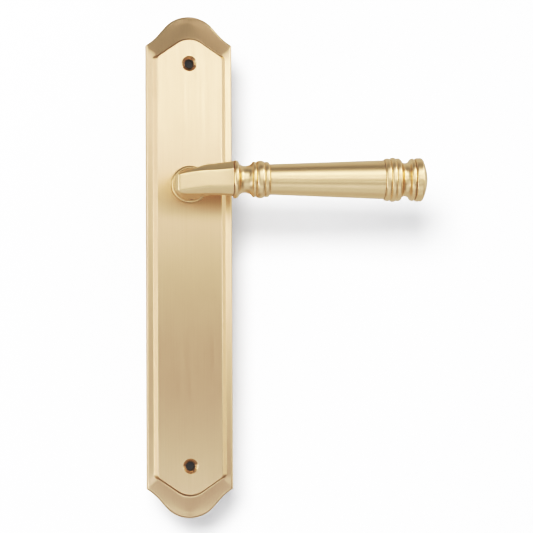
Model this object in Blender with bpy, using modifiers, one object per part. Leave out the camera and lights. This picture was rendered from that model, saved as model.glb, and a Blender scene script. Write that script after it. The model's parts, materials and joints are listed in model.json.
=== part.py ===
"""Lever handle on a long shouldered backplate, with its spindle and return-spring cassette.

The origin is the spindle's axis at the door face. +X runs along the grip, +Y goes into the door
and +Z is up, so the front of the plate faces -Y. Heights above the door face are measured along -Y.
"""

import math

import bmesh
import bpy
from mathutils import Matrix, Vector

MM = 0.001
GAP = 0.3 * MM  # between neighbouring pieces
TIGHT_GAP = 0.1 * MM  # along an axis, where a piece must not slide
CUTTER_EXTRA = 2.0 * MM  # how far a cutter runs past the face that it opens

# Backplate: outline
PLATE_TOP_Z = 81.0 * MM
PLATE_BOTTOM_Z = -159.0 * MM
PLATE_HALF_WIDTH = 20.5 * MM
CROWN_RADIUS = 15.0 * MM
CROWN_ANGLE = math.radians(49.0)  # from the apex to where the crown turns straight
SHOULDER_RADIUS = 24.0 * MM
SHOULDER_ANGLE = math.radians(31.0)  # slope of the outline where it meets the side
CROWN_STEPS = 7
SHOULDER_STEPS = 4

# Backplate: raised panel
PLATE_HEIGHT = 9.0 * MM
PANEL_HALF_WIDTH = 15.4 * MM
PANEL_CORNER_INSET = 19.8 * MM  # from the plate's apex down to the sharp corner of the panel
PANEL_GABLE_ANGLE = math.radians(34.5)
PANEL_APEX_RADIUS = 10.0 * MM
PANEL_CORNER_RADIUS = 2.5 * MM
PANEL_EDGE_ROUNDING = 0.35 * MM
STEP_WIDTH_AT_SIDE = 1.9 * MM
STEP_WIDTH_AT_END = 0.45 * MM

# Backplate: border around the panel, which falls away towards both ends
BORDER_HEIGHT = 6.6 * MM
BORDER_SIDE_DROP = 0.6 * MM
EDGE_ROUNDING = 1.2 * MM
END_FALL_ANGLE = math.radians(6.5)
END_BEND_START = 22.0 * MM  # distances from the apex
END_BEND_STOP = 18.0 * MM
SIDE_INSETS = (23.0 * MM, 21.1 * MM, 19.7 * MM, END_BEND_STOP)  # of points beside the bend
SIDE_SHARES = (1.0, 1.0, 0.6, 0.3)  # how much of the side's own shape each of them has
EDGE_STEPS = 3

# Backplate: back pocket and holes
SHEET_THICKNESS = 2.2 * MM
POCKET_HALF_WIDTH = 13.8 * MM
POCKET_TOP_Z = 42.0 * MM
POCKET_BOTTOM_Z = -118.0 * MM
POCKET_CORNER_RADIUS = 4.0 * MM
SCREW_HOLE_Z = (58.0 * MM, -134.0 * MM)
SCREW_HOLE_RADIUS = 2.1 * MM
COUNTERSINK_RADIUS = 3.6 * MM
COUNTERSINK_DEPTH = 1.6 * MM
COUNTERSINK_PAST = 0.5 * MM  # how far its cutter goes on past the face

# Collar, bush and the lever's journal, all on the spindle's axis
COLLAR_RADIUS = 8.9 * MM
COLLAR_STANDOFF = 3.0 * MM
COLLAR_EDGE_ROUNDING = 0.9 * MM
COLLAR_SPIGOT_RADIUS = 8.2 * MM
COLLAR_BORE_RADIUS = 7.7 * MM
BUSH_INNER_RADIUS = 6.8 * MM
JOURNAL_RADIUS = 6.5 * MM
JOURNAL_END_HEIGHT = 4.9 * MM
CLIP_GROOVE_RADIUS = 6.0 * MM
CLIP_GROOVE_HEIGHTS = (5.75 * MM, 6.55 * MM)
CLIP_OUTER_RADIUS = 7.4 * MM
CLIP_OPENING = math.radians(50.0)

# Lever neck: a shank out of the collar, an elbow with a nearly sharp outer corner, and a short arm
GRIP_AXIS_HEIGHT = 50.0 * MM
NECK_OUTER_X = -9.0 * MM
NECK_INNER_X = 7.0 * MM
NECK_INNER_RADIUS = 1.5 * MM
NECK_CORNER_RADIUS = 1.5 * MM
RIDGE_FLAT_SHARE = 0.4  # the most of an edge that softening a ridge may take
NECK_END_X = 16.6 * MM
ARM_HALF_DEPTH = 6.6 * MM
ARM_END_HALF_DEPTH = 7.6 * MM
SHANK_STEPS = 4
ELBOW_SIDE_STEPS = 4
ELBOW_CORNER_STEPS = 3
ELBOW_FRONT_STEPS = 5
ARM_STEPS = 5

# The neck's section at five places, in millimetres: its middle above the axis, how far its ridges are
# softened, then its upper and its lower half as five corners of (depth, distance from the middle),
# the first three measured in from the outer side and the last two from the inner side.
FOOT_RADIUS = 8.3
FOOT_HALF = ((0.4, 2.6), (3.4, 6.7), (8.3, 8.3), (3.4, 6.7), (0.4, 2.6))
ARM_START_HALF = ((0.0, 3.9), (3.1, 7.0), (5.0, 7.0), (2.8, 7.0), (0.0, 4.2))
ARM_END_HALF = ((0.0, 4.2), (3.5, 7.75), (5.5, 7.75), (3.5, 7.75), (0.0, 4.2))
NECK_SECTIONS = {
    "foot": (0.0, 2.3, FOOT_HALF, FOOT_HALF),
    "shank_end": (
        -0.9,
        0.9,
        ((0.0, 2.9), (3.5, 5.0), (9.0, 6.2), (2.5, 6.2), (0.0, 4.0)),
        ((0.0, 4.4), (2.4, 6.2), (6.0, 6.4), (2.5, 6.4), (0.0, 4.0)),
    ),
    "corner": (
        -1.0,
        0.8,
        ((0.0, 2.9), (0.4, 3.2), (10.4, 6.2), (2.5, 6.2), (0.0, 4.0)),
        ((0.0, 4.6), (1.8, 6.0), (6.0, 6.4), (2.5, 6.4), (0.0, 4.0)),
    ),
    "arm_start": (0.0, 0.8, ARM_START_HALF, ARM_START_HALF),
    "arm_end": (0.45, 0.8, ARM_END_HALF, ARM_END_HALF),
}

# Grip
BORE_RADIUS = 2.9 * MM
TIE_ROD_RADIUS = 2.5 * MM
TIE_ROD_IN_CAP = 1.8 * MM
END_CAP_BORE_DEPTH = 2.2 * MM
TIE_ROD_START_X = 11.0 * MM
FERRULE_START_X = 16.9 * MM
BARREL_START_X = 34.1 * MM
BARREL_END_X = 86.7 * MM
BARREL_START_RADIUS = 7.0 * MM
BARREL_END_RADIUS = 8.95 * MM
END_CAP_START_X = 101.5 * MM
END_CAP_RADIUS = 10.05 * MM
DOME_START_X = 105.0 * MM
LEVER_TIP_X = 107.2 * MM
TURNED_STEPS = 28
CURVE_STEPS = 3  # profile segments in each quarter turn of a bead or a hollow

# Spindle
SPINDLE_SIDE = 7.0 * MM
SPINDLE_FRONT_Y = -31.0 * MM
SPINDLE_REAR_Y = 45.0 * MM
SPINDLE_CHAMFER = 0.5 * MM
SOCKET_CLEARANCE = 0.2 * MM
GRUB_SCREW_HEIGHT = 22.0 * MM
GRUB_SCREW_RADIUS = 2.0 * MM
GRUB_SCREW_LENGTH = 2.8 * MM
GRUB_SOCKET_RADIUS = 1.15 * MM
GRUB_SOCKET_DEPTH = 1.5 * MM

# Return-spring cassette in the pocket
CASE_HALF_WIDTH = 12.6 * MM
CASE_HALF_LENGTH = 22.9 * MM
CASE_WALL = 0.9 * MM
CASE_FRONT_HEIGHTS = (5.9 * MM, 6.5 * MM)
CASE_RIM_HEIGHT = 1.5 * MM
CASE_HOLE_RADIUS = 7.7 * MM
CASE_RIB_X = 5.65 * MM
CASE_RIB_START = 11.5 * MM
COVER_HEIGHTS = (0.4 * MM, 1.2 * MM)
COVER_HOLE_RADIUS = 5.6 * MM
CASE_SCREW_X = 8.6 * MM
CASE_SCREW_Z = 17.0 * MM
CASE_SCREW_RADIUS = 1.0 * MM
CASE_SCREW_HEAD_RADIUS = 2.0 * MM
CASE_SCREW_TOP_HEIGHT = 7.9 * MM
CASE_SCREW_TIP_RADIUS = 0.8 * CASE_SCREW_RADIUS
CASE_SCREW_TIP_LENGTH = 0.3 * MM
SCREW_SLOT_HALF_LENGTH = 0.7 * CASE_SCREW_HEAD_RADIUS
SCREW_SLOT_HALF_WIDTH = 0.25 * MM
SCREW_SLOT_DEPTH = 0.4 * MM
COVER_SINK_PAST = 0.3 * MM
PILLAR_RADIUS = 2.6 * MM
ROTOR_HEIGHTS = (2.0 * MM, 4.6 * MM)
ROTOR_HUB_RADIUS = 6.2 * MM
LUG_RADIUS = 9.0 * MM  # from the axis to the middle of a lug's round end
LUG_HALF_WIDTH = 1.2 * MM
LEVER_TRAVEL = math.radians(40.0)
PLUNGER_CLEARANCE = 0.4 * MM
PLUNGER_HEIGHTS = (1.9 * MM, 5.2 * MM)
PLUNGER_X = (6.45 * MM, 11.4 * MM)
PLUNGER_HEAD = 3.2 * MM
PLUNGER_STEM_RADIUS = 1.0 * MM
PLUNGER_STEM = 5.2 * MM
SPRING_X = 9.0 * MM
SPRING_HEIGHT = 3.55 * MM
SPRING_RADIUS = 1.55 * MM  # to the middle of the wire
SPRING_WIRE_RADIUS = 0.25 * MM
SPRING_TURNS = 7
SPRING_POINTS_PER_TURN = 10

BRASS = ("satin_brass", (0.78, 0.61, 0.36, 1.0), 1.0, 0.32)
BRIGHT_BRASS = ("brushed_brass", (0.80, 0.64, 0.40, 1.0), 1.0, 0.38)
STEEL = ("zinc_plated_steel", (0.56, 0.57, 0.58, 1.0), 1.0, 0.42)
SPRING_STEEL = ("spring_steel", (0.30, 0.31, 0.33, 1.0), 1.0, 0.35)
CAST_ZINC = ("cast_zinc", (0.44, 0.45, 0.47, 1.0), 1.0, 0.55)
NYLON = ("natural_nylon", (0.80, 0.78, 0.70, 1.0), 0.0, 0.50)


def clear_scene():
    for obj in list(bpy.data.objects):
        bpy.data.objects.remove(obj, do_unlink=True)


def make_collection(name):
    collection = bpy.data.collections.new(name)
    bpy.context.scene.collection.children.link(collection)
    return collection


def make_material(spec, node_name):
    finish, colour, metallic, roughness = spec
    material = bpy.data.materials.new(f"{node_name}_{finish}")
    material.use_nodes = True
    shader = material.node_tree.nodes["Principled BSDF"]
    shader.inputs["Base Color"].default_value = colour
    shader.inputs["Metallic"].default_value = metallic
    shader.inputs["Roughness"].default_value = roughness
    material.diffuse_color = colour
    return material


def add_object(name, mesh, finish=None, parent=None):
    """Links a part, or a cutter where it has no finish."""
    obj = bpy.data.objects.new(name, mesh)
    if finish is None:
        CUTTERS.objects.link(obj)
        obj.hide_render = True
        obj.display_type = "WIRE"
    else:
        PARTS.objects.link(obj)
        mesh.materials.append(make_material(finish, name))
    obj.parent = parent
    return obj


def add_boolean(obj, other, operation="DIFFERENCE"):
    modifier = obj.modifiers.new(f"{operation.lower()}_{other.name}", "BOOLEAN")
    modifier.operation = operation
    modifier.solver = "EXACT"
    modifier.object = other


def add_empty(name, location=(0.0, 0.0, 0.0)):
    empty = bpy.data.objects.new(name, None)
    empty.empty_display_size = 10 * MM
    empty.location = location
    PARTS.objects.link(empty)
    return empty


# Meshes


def loft_mesh(name, rings):
    """A closed skin over rings of equal length, with a flat cap on the first and the last."""
    bm = bmesh.new()
    rows = [[bm.verts.new(point) for point in ring] for ring in rings]
    for row, following in zip(rows, rows[1:]):
        for i, vertex in enumerate(row):
            j = (i + 1) % len(row)
            bm.faces.new((vertex, row[j], following[j], following[i]))
    bm.faces.new(rows[0])
    bm.faces.new(rows[-1])
    bmesh.ops.recalc_face_normals(bm, faces=bm.faces)
    mesh = bpy.data.meshes.new(name)
    bm.to_mesh(mesh)
    bm.free()
    return mesh


def prism_mesh(name, outline, heights):
    """A flat (x, z) outline stretched between two heights above the door face."""
    return loft_mesh(name, [[(x, -height, z) for x, z in outline] for height in heights])


def box_mesh(name, x_range, height_range, z_range):
    bm = bmesh.new()
    bmesh.ops.create_cube(bm, size=1.0)
    low = Vector((x_range[0], -height_range[1], z_range[0]))
    high = Vector((x_range[1], -height_range[0], z_range[1]))
    size = high - low
    bmesh.ops.scale(bm, vec=size, verts=bm.verts)
    bmesh.ops.translate(bm, vec=(low + high) / 2, verts=bm.verts)
    mesh = bpy.data.meshes.new(name)
    bm.to_mesh(mesh)
    bm.free()
    return mesh


def cylinder_mesh(name, radius, start, end, segments=24, end_radius=None):
    """A cylinder or a cone between two points."""
    start = Vector(start)
    end = Vector(end)
    bm = bmesh.new()
    bmesh.ops.create_cone(
        bm,
        cap_ends=True,
        segments=segments,
        radius1=radius,
        radius2=radius if end_radius is None else end_radius,
        depth=(end - start).length,
    )
    turn = Vector((0, 0, 1)).rotation_difference(end - start).to_matrix().to_4x4()
    bmesh.ops.transform(bm, matrix=Matrix.Translation((start + end) / 2) @ turn, verts=bm.verts)
    mesh = bpy.data.meshes.new(name)
    bm.to_mesh(mesh)
    bm.free()
    return mesh


def profile_mesh(name, profile, closed):
    """An edge loop or chain of (radius, height) points in the local XZ plane, for a Screw modifier."""
    count = len(profile)
    edges = [(i, i + 1) for i in range(count - 1)]
    if closed:
        edges.append((count - 1, 0))
    mesh = bpy.data.meshes.new(name)
    mesh.from_pydata([(radius, 0.0, height) for radius, height in profile], edges, [])
    return mesh


def add_turned(name, profile, finish, along, parent=None, closed=True, steps=TURNED_STEPS):
    """A turned piece. Its profile's height runs along +X of the grip, or from the door to the front."""
    obj = add_object(name, profile_mesh(name, profile, closed), finish, parent)
    obj.rotation_euler = (0.0, math.pi / 2, 0.0) if along == "grip" else (math.pi / 2, 0.0, 0.0)
    screw = obj.modifiers.new("turn", "SCREW")
    screw.axis = "Z"
    screw.angle = math.tau
    screw.steps = steps
    screw.render_steps = steps
    screw.use_merge_vertices = True
    screw.merge_threshold = 0.00001
    screw.use_smooth_shade = True
    return obj


# Outlines


def arc(centre, radius, start, stop, steps):
    """Points of an arc after its first one, up to and including its last."""
    turn = (stop - start) / steps
    angles = [start + turn * (i + 1) for i in range(steps)]
    return [
        (centre[0] + radius * math.cos(angle), centre[1] + radius * math.sin(angle))
        for angle in angles
    ]


def rounded_rectangle(half_width, bottom, top, radius, steps=4):
    outline = []
    corners = (
        (half_width - radius, top - radius, 0.0),
        (-half_width + radius, top - radius, math.pi / 2),
        (-half_width + radius, bottom + radius, math.pi),
        (half_width - radius, bottom + radius, 1.5 * math.pi),
    )
    for x, z, start in corners:
        outline.append((x + radius * math.cos(start), z + radius * math.sin(start)))
        outline += arc((x, z), radius, start, start + math.pi / 2, steps)
    return outline


def plate_quarter():
    """The plate's outline as (x, distance below the apex), from the side up to the apex."""
    crown_x = CROWN_RADIUS * math.sin(CROWN_ANGLE)
    crown_drop = CROWN_RADIUS * (1 - math.cos(CROWN_ANGLE))
    hollow_x = SHOULDER_RADIUS * (math.sin(CROWN_ANGLE) - math.sin(SHOULDER_ANGLE))
    straight = (PLATE_HALF_WIDTH - crown_x - hollow_x) / math.cos(CROWN_ANGLE)
    hollow_top = (
        crown_x + straight * math.cos(CROWN_ANGLE),
        crown_drop + straight * math.sin(CROWN_ANGLE),
    )
    centre = (
        hollow_top[0] + SHOULDER_RADIUS * math.sin(CROWN_ANGLE),
        hollow_top[1] - SHOULDER_RADIUS * math.cos(CROWN_ANGLE),
    )
    turn = (CROWN_ANGLE - SHOULDER_ANGLE) / SHOULDER_STEPS
    shoulder = [SHOULDER_ANGLE + turn * i for i in range(SHOULDER_STEPS + 1)]
    outline = [(PLATE_HALF_WIDTH, inset) for inset in SIDE_INSETS]
    outline += [
        (centre[0] - SHOULDER_RADIUS * math.sin(a), centre[1] + SHOULDER_RADIUS * math.cos(a))
        for a in shoulder
    ]
    for i in range(CROWN_STEPS + 1):
        angle = CROWN_ANGLE * (1 - i / CROWN_STEPS)
        outline.append((CROWN_RADIUS * math.sin(angle), CROWN_RADIUS * (1 - math.cos(angle))))
    return outline


def panel_quarter():
    """The panel's outline, with one point for each of the plate's, from the side up to the apex."""
    corner = (PANEL_HALF_WIDTH, PANEL_CORNER_INSET)
    turn = math.pi / 2 - PANEL_GABLE_ANGLE
    tangent = PANEL_CORNER_RADIUS * math.tan(turn / 2)
    centre = (corner[0] - PANEL_CORNER_RADIUS, corner[1] + tangent)
    outline = [(PANEL_HALF_WIDTH, SIDE_INSETS[0])]
    fillet_steps = len(SIDE_INSETS) - 1
    for i in range(fillet_steps + 1):
        angle = turn * i / fillet_steps
        outline.append(
            (
                centre[0] + PANEL_CORNER_RADIUS * math.cos(angle),
                centre[1] - PANEL_CORNER_RADIUS * math.sin(angle),
            )
        )
    apex_x = PANEL_APEX_RADIUS * math.sin(PANEL_GABLE_ANGLE)
    apex_inset = corner[1] - (corner[0] - apex_x) * math.tan(PANEL_GABLE_ANGLE)
    start = outline[-1]
    for i in range(1, SHOULDER_STEPS + 1):
        share = i / (SHOULDER_STEPS + 1)
        outline.append(
            (start[0] + (apex_x - start[0]) * share, start[1] + (apex_inset - start[1]) * share)
        )
    for i in range(CROWN_STEPS + 1):
        angle = PANEL_GABLE_ANGLE * (1 - i / CROWN_STEPS)
        rise = PANEL_APEX_RADIUS * (math.cos(angle) - math.cos(PANEL_GABLE_ANGLE))
        outline.append((PANEL_APEX_RADIUS * math.sin(angle), apex_inset - rise))
    return outline


def whole_ring(quarter):
    """Four quarters joined into one ring, as (x, z), running from the right side over the top."""
    top_right = [(x, PLATE_TOP_Z - inset) for x, inset in quarter]
    bottom_right = [(x, PLATE_BOTTOM_Z + inset) for x, inset in quarter]
    top_left = [(-x, z) for x, z in top_right[-2::-1]]
    bottom_left = [(-x, z) for x, z in bottom_right]
    return top_right + top_left + bottom_left + bottom_right[-2::-1]


def whole_values(quarter):
    """The same walk as whole_ring for one value for each point."""
    return quarter + quarter[-2::-1] + quarter + quarter[-2::-1]


def offset_ring(ring, distances):
    """The ring with each point moved outwards, so that its edges shift by the distances given."""
    moved = []
    count = len(ring)
    for i, (x, z) in enumerate(ring):
        before = Vector(ring[i]) - Vector(ring[i - 1])
        after = Vector(ring[(i + 1) % count]) - Vector(ring[i])
        first = Vector((before.y, -before.x)).normalized()
        second = Vector((after.y, -after.x)).normalized()
        mitre = (first + second).normalized()
        reach = distances[i] / mitre.dot(first)
        moved.append((x + mitre.x * reach, z + mitre.y * reach))
    return moved


def border_height(z):
    """Height of the border's inner edge: level along the sides and falling towards the apexes."""
    inset = min(PLATE_TOP_Z - z, z - PLATE_BOTTOM_Z)
    bend = END_BEND_START - END_BEND_STOP
    slope = math.tan(END_FALL_ANGLE)
    if inset >= END_BEND_START:
        return BORDER_HEIGHT
    if inset >= END_BEND_STOP:
        return BORDER_HEIGHT - slope * (END_BEND_START - inset) ** 2 / (2 * bend)
    return BORDER_HEIGHT - slope * bend / 2 - slope * (END_BEND_STOP - inset)


def level(ring, heights):
    """A flat (x, z) ring lifted to one height for each of its points."""
    return [(x, -height, z) for (x, z), height in zip(ring, heights)]


# Root body: plate, collar, bush and cassette


def make_backplate():
    outline = whole_ring(plate_quarter())
    panel = whole_ring(panel_quarter())
    past_side = len(plate_quarter()) - len(SIDE_SHARES)
    side_share = whole_values(list(SIDE_SHARES) + [0.0] * past_side)
    step_widths = [
        STEP_WIDTH_AT_END + (STEP_WIDTH_AT_SIDE - STEP_WIDTH_AT_END) * share
        for share in side_share
    ]
    step_foot = offset_ring(panel, step_widths)
    panel_inner = offset_ring(panel, [-PANEL_EDGE_ROUNDING] * len(panel))
    edge_heights = [
        border_height(z) - BORDER_SIDE_DROP * share for (x, z), share in zip(outline, side_share)
    ]

    rings = [level(outline, [0.0] * len(outline))]
    for i in range(EDGE_STEPS + 1):
        angle = math.pi / 2 * i / EDGE_STEPS
        inwards = EDGE_ROUNDING * (1 - math.cos(angle))
        down = EDGE_ROUNDING * (1 - math.sin(angle))
        ring = offset_ring(outline, [-inwards] * len(outline))
        rings.append(level(ring, [height - down for height in edge_heights]))
    rings += [
        level(step_foot, [border_height(z) for x, z in step_foot]),
        level(panel, [PLATE_HEIGHT - PANEL_EDGE_ROUNDING] * len(panel)),
        level(panel_inner, [PLATE_HEIGHT] * len(panel)),
    ]
    plate = add_object("backplate", loft_mesh("backplate", rings), BRIGHT_BRASS)

    pocket = rounded_rectangle(
        POCKET_HALF_WIDTH, POCKET_BOTTOM_Z, POCKET_TOP_Z, POCKET_CORNER_RADIUS
    )
    pocket_front = PLATE_HEIGHT - SHEET_THICKNESS
    cutters = [
        add_object(
            "cut_pocket", prism_mesh("cut_pocket", pocket, (-CUTTER_EXTRA, pocket_front))
        ),
        add_object(
            "cut_collar_hole",
            cylinder_mesh(
                "cut_collar_hole",
                COLLAR_SPIGOT_RADIUS + GAP,
                (0, -pocket_front + CUTTER_EXTRA, 0),
                (0, -PLATE_HEIGHT - CUTTER_EXTRA, 0),
                32,
            ),
        ),
    ]
    for number, z in enumerate(SCREW_HOLE_Z, 1):
        cutters += screw_hole_cutters(number, z)
    for number, sign in enumerate((1, -1), 1):
        cutters.append(case_screw_hole(f"cut_plate_screw_{number}", sign, pocket_front))
    for cutter in cutters:
        add_boolean(plate, cutter)


def screw_hole_cutters(number, z):
    """A through hole and its countersink, which widens a little past the panel's face."""
    flare = (COUNTERSINK_RADIUS - SCREW_HOLE_RADIUS) / COUNTERSINK_DEPTH
    past = COUNTERSINK_PAST
    hole = cylinder_mesh(
        f"cut_screw_hole_{number}",
        SCREW_HOLE_RADIUS,
        (0, CUTTER_EXTRA, z),
        (0, -PLATE_HEIGHT - CUTTER_EXTRA, z),
    )
    sink = cylinder_mesh(
        f"cut_countersink_{number}",
        SCREW_HOLE_RADIUS,
        (0, -PLATE_HEIGHT + COUNTERSINK_DEPTH, z),
        (0, -PLATE_HEIGHT - past, z),
        end_radius=COUNTERSINK_RADIUS + flare * past,
    )
    return [add_object(hole.name, hole), add_object(sink.name, sink)]


def case_screw_hole(name, sign, top_height):
    """A blind hole in the back of the plate's panel for a cassette screw."""
    centre = (sign * CASE_SCREW_X, sign * CASE_SCREW_Z)
    start = (centre[0], -top_height + CUTTER_EXTRA, centre[1])
    end = (centre[0], -CASE_SCREW_TOP_HEIGHT - GAP, centre[1])
    return add_object(name, cylinder_mesh(name, CASE_SCREW_RADIUS + GAP, start, end, 16))


def make_collar():
    face = PLATE_HEIGHT + COLLAR_STANDOFF
    seat = PLATE_HEIGHT + GAP
    rounding = COLLAR_EDGE_ROUNDING
    profile = [(COLLAR_RADIUS - rounding, face)]
    for i in range(1, CURVE_STEPS + 1):
        angle = math.pi / 2 * i / CURVE_STEPS
        profile.append(
            (
                COLLAR_RADIUS - rounding + rounding * math.sin(angle),
                face - rounding + rounding * math.cos(angle),
            )
        )
    profile += [
        (COLLAR_RADIUS, seat),
        (COLLAR_SPIGOT_RADIUS, seat),
        (COLLAR_SPIGOT_RADIUS, PLATE_HEIGHT - SHEET_THICKNESS),
        (COLLAR_BORE_RADIUS, PLATE_HEIGHT - SHEET_THICKNESS),
        (COLLAR_BORE_RADIUS, face),
    ]
    add_turned("neck_collar", profile, BRASS, "front")


def make_bush():
    outer = COLLAR_BORE_RADIUS - GAP
    top = PLATE_HEIGHT + COLLAR_STANDOFF - GAP
    bottom = PLATE_HEIGHT - SHEET_THICKNESS - TIGHT_GAP
    profile = [
        (outer, top),
        (outer, bottom),
        (BUSH_INNER_RADIUS, bottom),
        (BUSH_INNER_RADIUS, top),
    ]
    add_turned("lever_bush", profile, NYLON, "front")


def make_cassette_case():
    front_low, front_high = CASE_FRONT_HEIGHTS
    case = add_object(
        "cassette_case",
        box_mesh(
            "cassette_case",
            (-CASE_HALF_WIDTH, CASE_HALF_WIDTH),
            (CASE_RIM_HEIGHT, front_high),
            (-CASE_HALF_LENGTH, CASE_HALF_LENGTH),
        ),
        CAST_ZINC,
    )
    inside_width = CASE_HALF_WIDTH - CASE_WALL
    inside_length = CASE_HALF_LENGTH - CASE_WALL
    inside = box_mesh(
        "cut_case_inside",
        (-inside_width, inside_width),
        (CASE_RIM_HEIGHT - CUTTER_EXTRA, front_low),
        (-inside_length, inside_length),
    )
    hole = cylinder_mesh(
        "cut_case_hole",
        CASE_HOLE_RADIUS,
        (0, -front_low + CUTTER_EXTRA, 0),
        (0, -front_high - CUTTER_EXTRA, 0),
        32,
    )
    add_boolean(case, add_object(inside.name, inside))
    add_boolean(case, add_object(hole.name, hole))
    middle = (front_low + front_high) / 2
    for number, sign in enumerate((1, -1), 1):
        rib = box_mesh(
            f"join_rib_{number}",
            sorted((sign * (CASE_RIB_X - CASE_WALL / 2), sign * (CASE_RIB_X + CASE_WALL / 2))),
            (CASE_RIM_HEIGHT, middle),
            sorted((-sign * CASE_RIB_START, -sign * (inside_length + CASE_WALL / 2))),
        )
        x, z = sign * CASE_SCREW_X, sign * CASE_SCREW_Z
        pillar = cylinder_mesh(
            f"join_pillar_{number}", PILLAR_RADIUS, (x, -middle, z), (x, -CASE_RIM_HEIGHT, z)
        )
        post = stop_post(number, sign, middle)
        for mesh in (rib, pillar, post):
            add_boolean(case, add_object(mesh.name, mesh), "UNION")
        bore = cylinder_mesh(
            f"cut_pillar_{number}",
            CASE_SCREW_RADIUS + GAP,
            (x, -CASE_RIM_HEIGHT + CUTTER_EXTRA, z),
            (x, -front_high - CUTTER_EXTRA, z),
            16,
        )
        add_boolean(case, add_object(bore.name, bore))


def post_angle():
    """The angle from a lug to the stop post that it rests beside, seen from the axis."""
    apart = 2 * LUG_HALF_WIDTH + GAP
    return 2 * math.asin(apart / 2 / LUG_RADIUS)


def stop_post(number, sign, root_height):
    """The post that a lug meets at rest and at the end of the lever's travel."""
    x = sign * LUG_RADIUS * math.cos(post_angle())
    z = sign * LUG_RADIUS * math.sin(post_angle())
    return cylinder_mesh(
        f"join_post_{number}",
        LUG_HALF_WIDTH,
        (x, -root_height, z),
        (x, -CASE_RIM_HEIGHT - GAP, z),
        16,
    )


def make_cassette_cover():
    low, high = COVER_HEIGHTS
    cover = add_object(
        "cassette_cover",
        box_mesh(
            "cassette_cover",
            (-CASE_HALF_WIDTH, CASE_HALF_WIDTH),
            COVER_HEIGHTS,
            (-CASE_HALF_LENGTH, CASE_HALF_LENGTH),
        ),
        STEEL,
    )
    hole = cylinder_mesh(
        "cut_cover_hole",
        COVER_HOLE_RADIUS,
        (0, -low + CUTTER_EXTRA, 0),
        (0, -high - CUTTER_EXTRA, 0),
        32,
    )
    add_boolean(cover, add_object(hole.name, hole))
    past = COVER_SINK_PAST
    for number, sign in enumerate((1, -1), 1):
        x, z = sign * CASE_SCREW_X, sign * CASE_SCREW_Z
        name = f"cut_cover_screw_{number}"
        wide = CASE_SCREW_HEAD_RADIUS + GAP + past
        narrow = CASE_SCREW_RADIUS + GAP - past
        start = (x, -low + past, z)
        end = (x, -high - past, z)
        sink = cylinder_mesh(name, wide, start, end, end_radius=narrow)
        add_boolean(cover, add_object(name, sink))


def make_cassette_screws():
    head_low = COVER_HEIGHTS[0]
    head_high = head_low + CASE_SCREW_HEAD_RADIUS - CASE_SCREW_RADIUS
    profile = [
        (0.0, CASE_SCREW_TOP_HEIGHT),
        (CASE_SCREW_TIP_RADIUS, CASE_SCREW_TOP_HEIGHT),
        (CASE_SCREW_RADIUS, CASE_SCREW_TOP_HEIGHT - CASE_SCREW_TIP_LENGTH),
        (CASE_SCREW_RADIUS, head_high),
        (CASE_SCREW_HEAD_RADIUS, head_low),
        (0.0, head_low),
    ]
    for number, sign in enumerate((1, -1), 1):
        name = f"cassette_screw_{number}"
        screw = add_turned(name, profile, STEEL, "front", closed=False, steps=16)
        screw.location = (sign * CASE_SCREW_X, 0.0, sign * CASE_SCREW_Z)
        slot = box_mesh(
            f"cut_slot_{number}",
            (-SCREW_SLOT_HALF_LENGTH, SCREW_SLOT_HALF_LENGTH),
            (head_low - GAP, head_low + SCREW_SLOT_DEPTH),
            (-SCREW_SLOT_HALF_WIDTH, SCREW_SLOT_HALF_WIDTH),
        )
        cutter = add_object(slot.name, slot)
        cutter.location = screw.location
        add_boolean(screw, cutter)


# Lever body: everything that turns on the spindle's axis


def mixed(first, second, share):
    """The neck's section at a share of the way between two of its named ones."""
    middle, softening, *halves = NECK_SECTIONS[first]
    next_middle, next_softening, *next_halves = NECK_SECTIONS[second]
    blended = []
    for half, next_half in zip(halves, next_halves):
        blended.append([Vector(a).lerp(Vector(b), share) for a, b in zip(half, next_half)])
    return (
        middle + (next_middle - middle) * share,
        softening + (next_softening - softening) * share,
        *blended,
    )


def soft_section(inner, outer, section):
    """A section as (distance from the elbow's pivot, height), with a narrow flat on each ridge."""
    middle, softening, upper, lower = section
    corners = []
    for half, sign in ((upper, 1), (lower, -1)):
        side = [Vector((outer / MM - depth, middle + sign * away)) for depth, away in half[:3]]
        side += [Vector((inner / MM + depth, middle + sign * away)) for depth, away in half[3:]]
        corners += [corner * MM for corner in side[::sign]]
    points = []
    for i, corner in enumerate(corners):
        for neighbour in (corners[i - 1], corners[(i + 1) % len(corners)]):
            edge = neighbour - corner
            along = min(softening * MM, edge.length * RIDGE_FLAT_SHARE)
            points.append(corner + edge.normalized() * along)
    return points


def elbow_line():
    """Points (across, forward) from the pivot to the elbow's outer line, each with its section."""
    reach_x = NECK_INNER_X + NECK_INNER_RADIUS - NECK_OUTER_X
    reach_y = 2 * ARM_HALF_DEPTH + NECK_INNER_RADIUS
    turn_x = reach_x - NECK_CORNER_RADIUS
    turn_y = reach_y - NECK_CORNER_RADIUS
    line = []
    for i in range(ELBOW_SIDE_STEPS + 1):
        share = i / ELBOW_SIDE_STEPS
        line.append(((reach_x, turn_y * share), mixed("shank_end", "corner", share)))
    steps = ELBOW_CORNER_STEPS
    for point in arc((turn_x, turn_y), NECK_CORNER_RADIUS, 0.0, math.pi / 2, steps):
        line.append((point, mixed("corner", "corner", 0.0)))
    for i in range(1, ELBOW_FRONT_STEPS + 1):
        share = i / ELBOW_FRONT_STEPS
        growth = math.sin(share * math.pi / 2)
        line.append(((turn_x * (1 - share), reach_y), mixed("corner", "arm_start", growth)))
    return line


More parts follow.
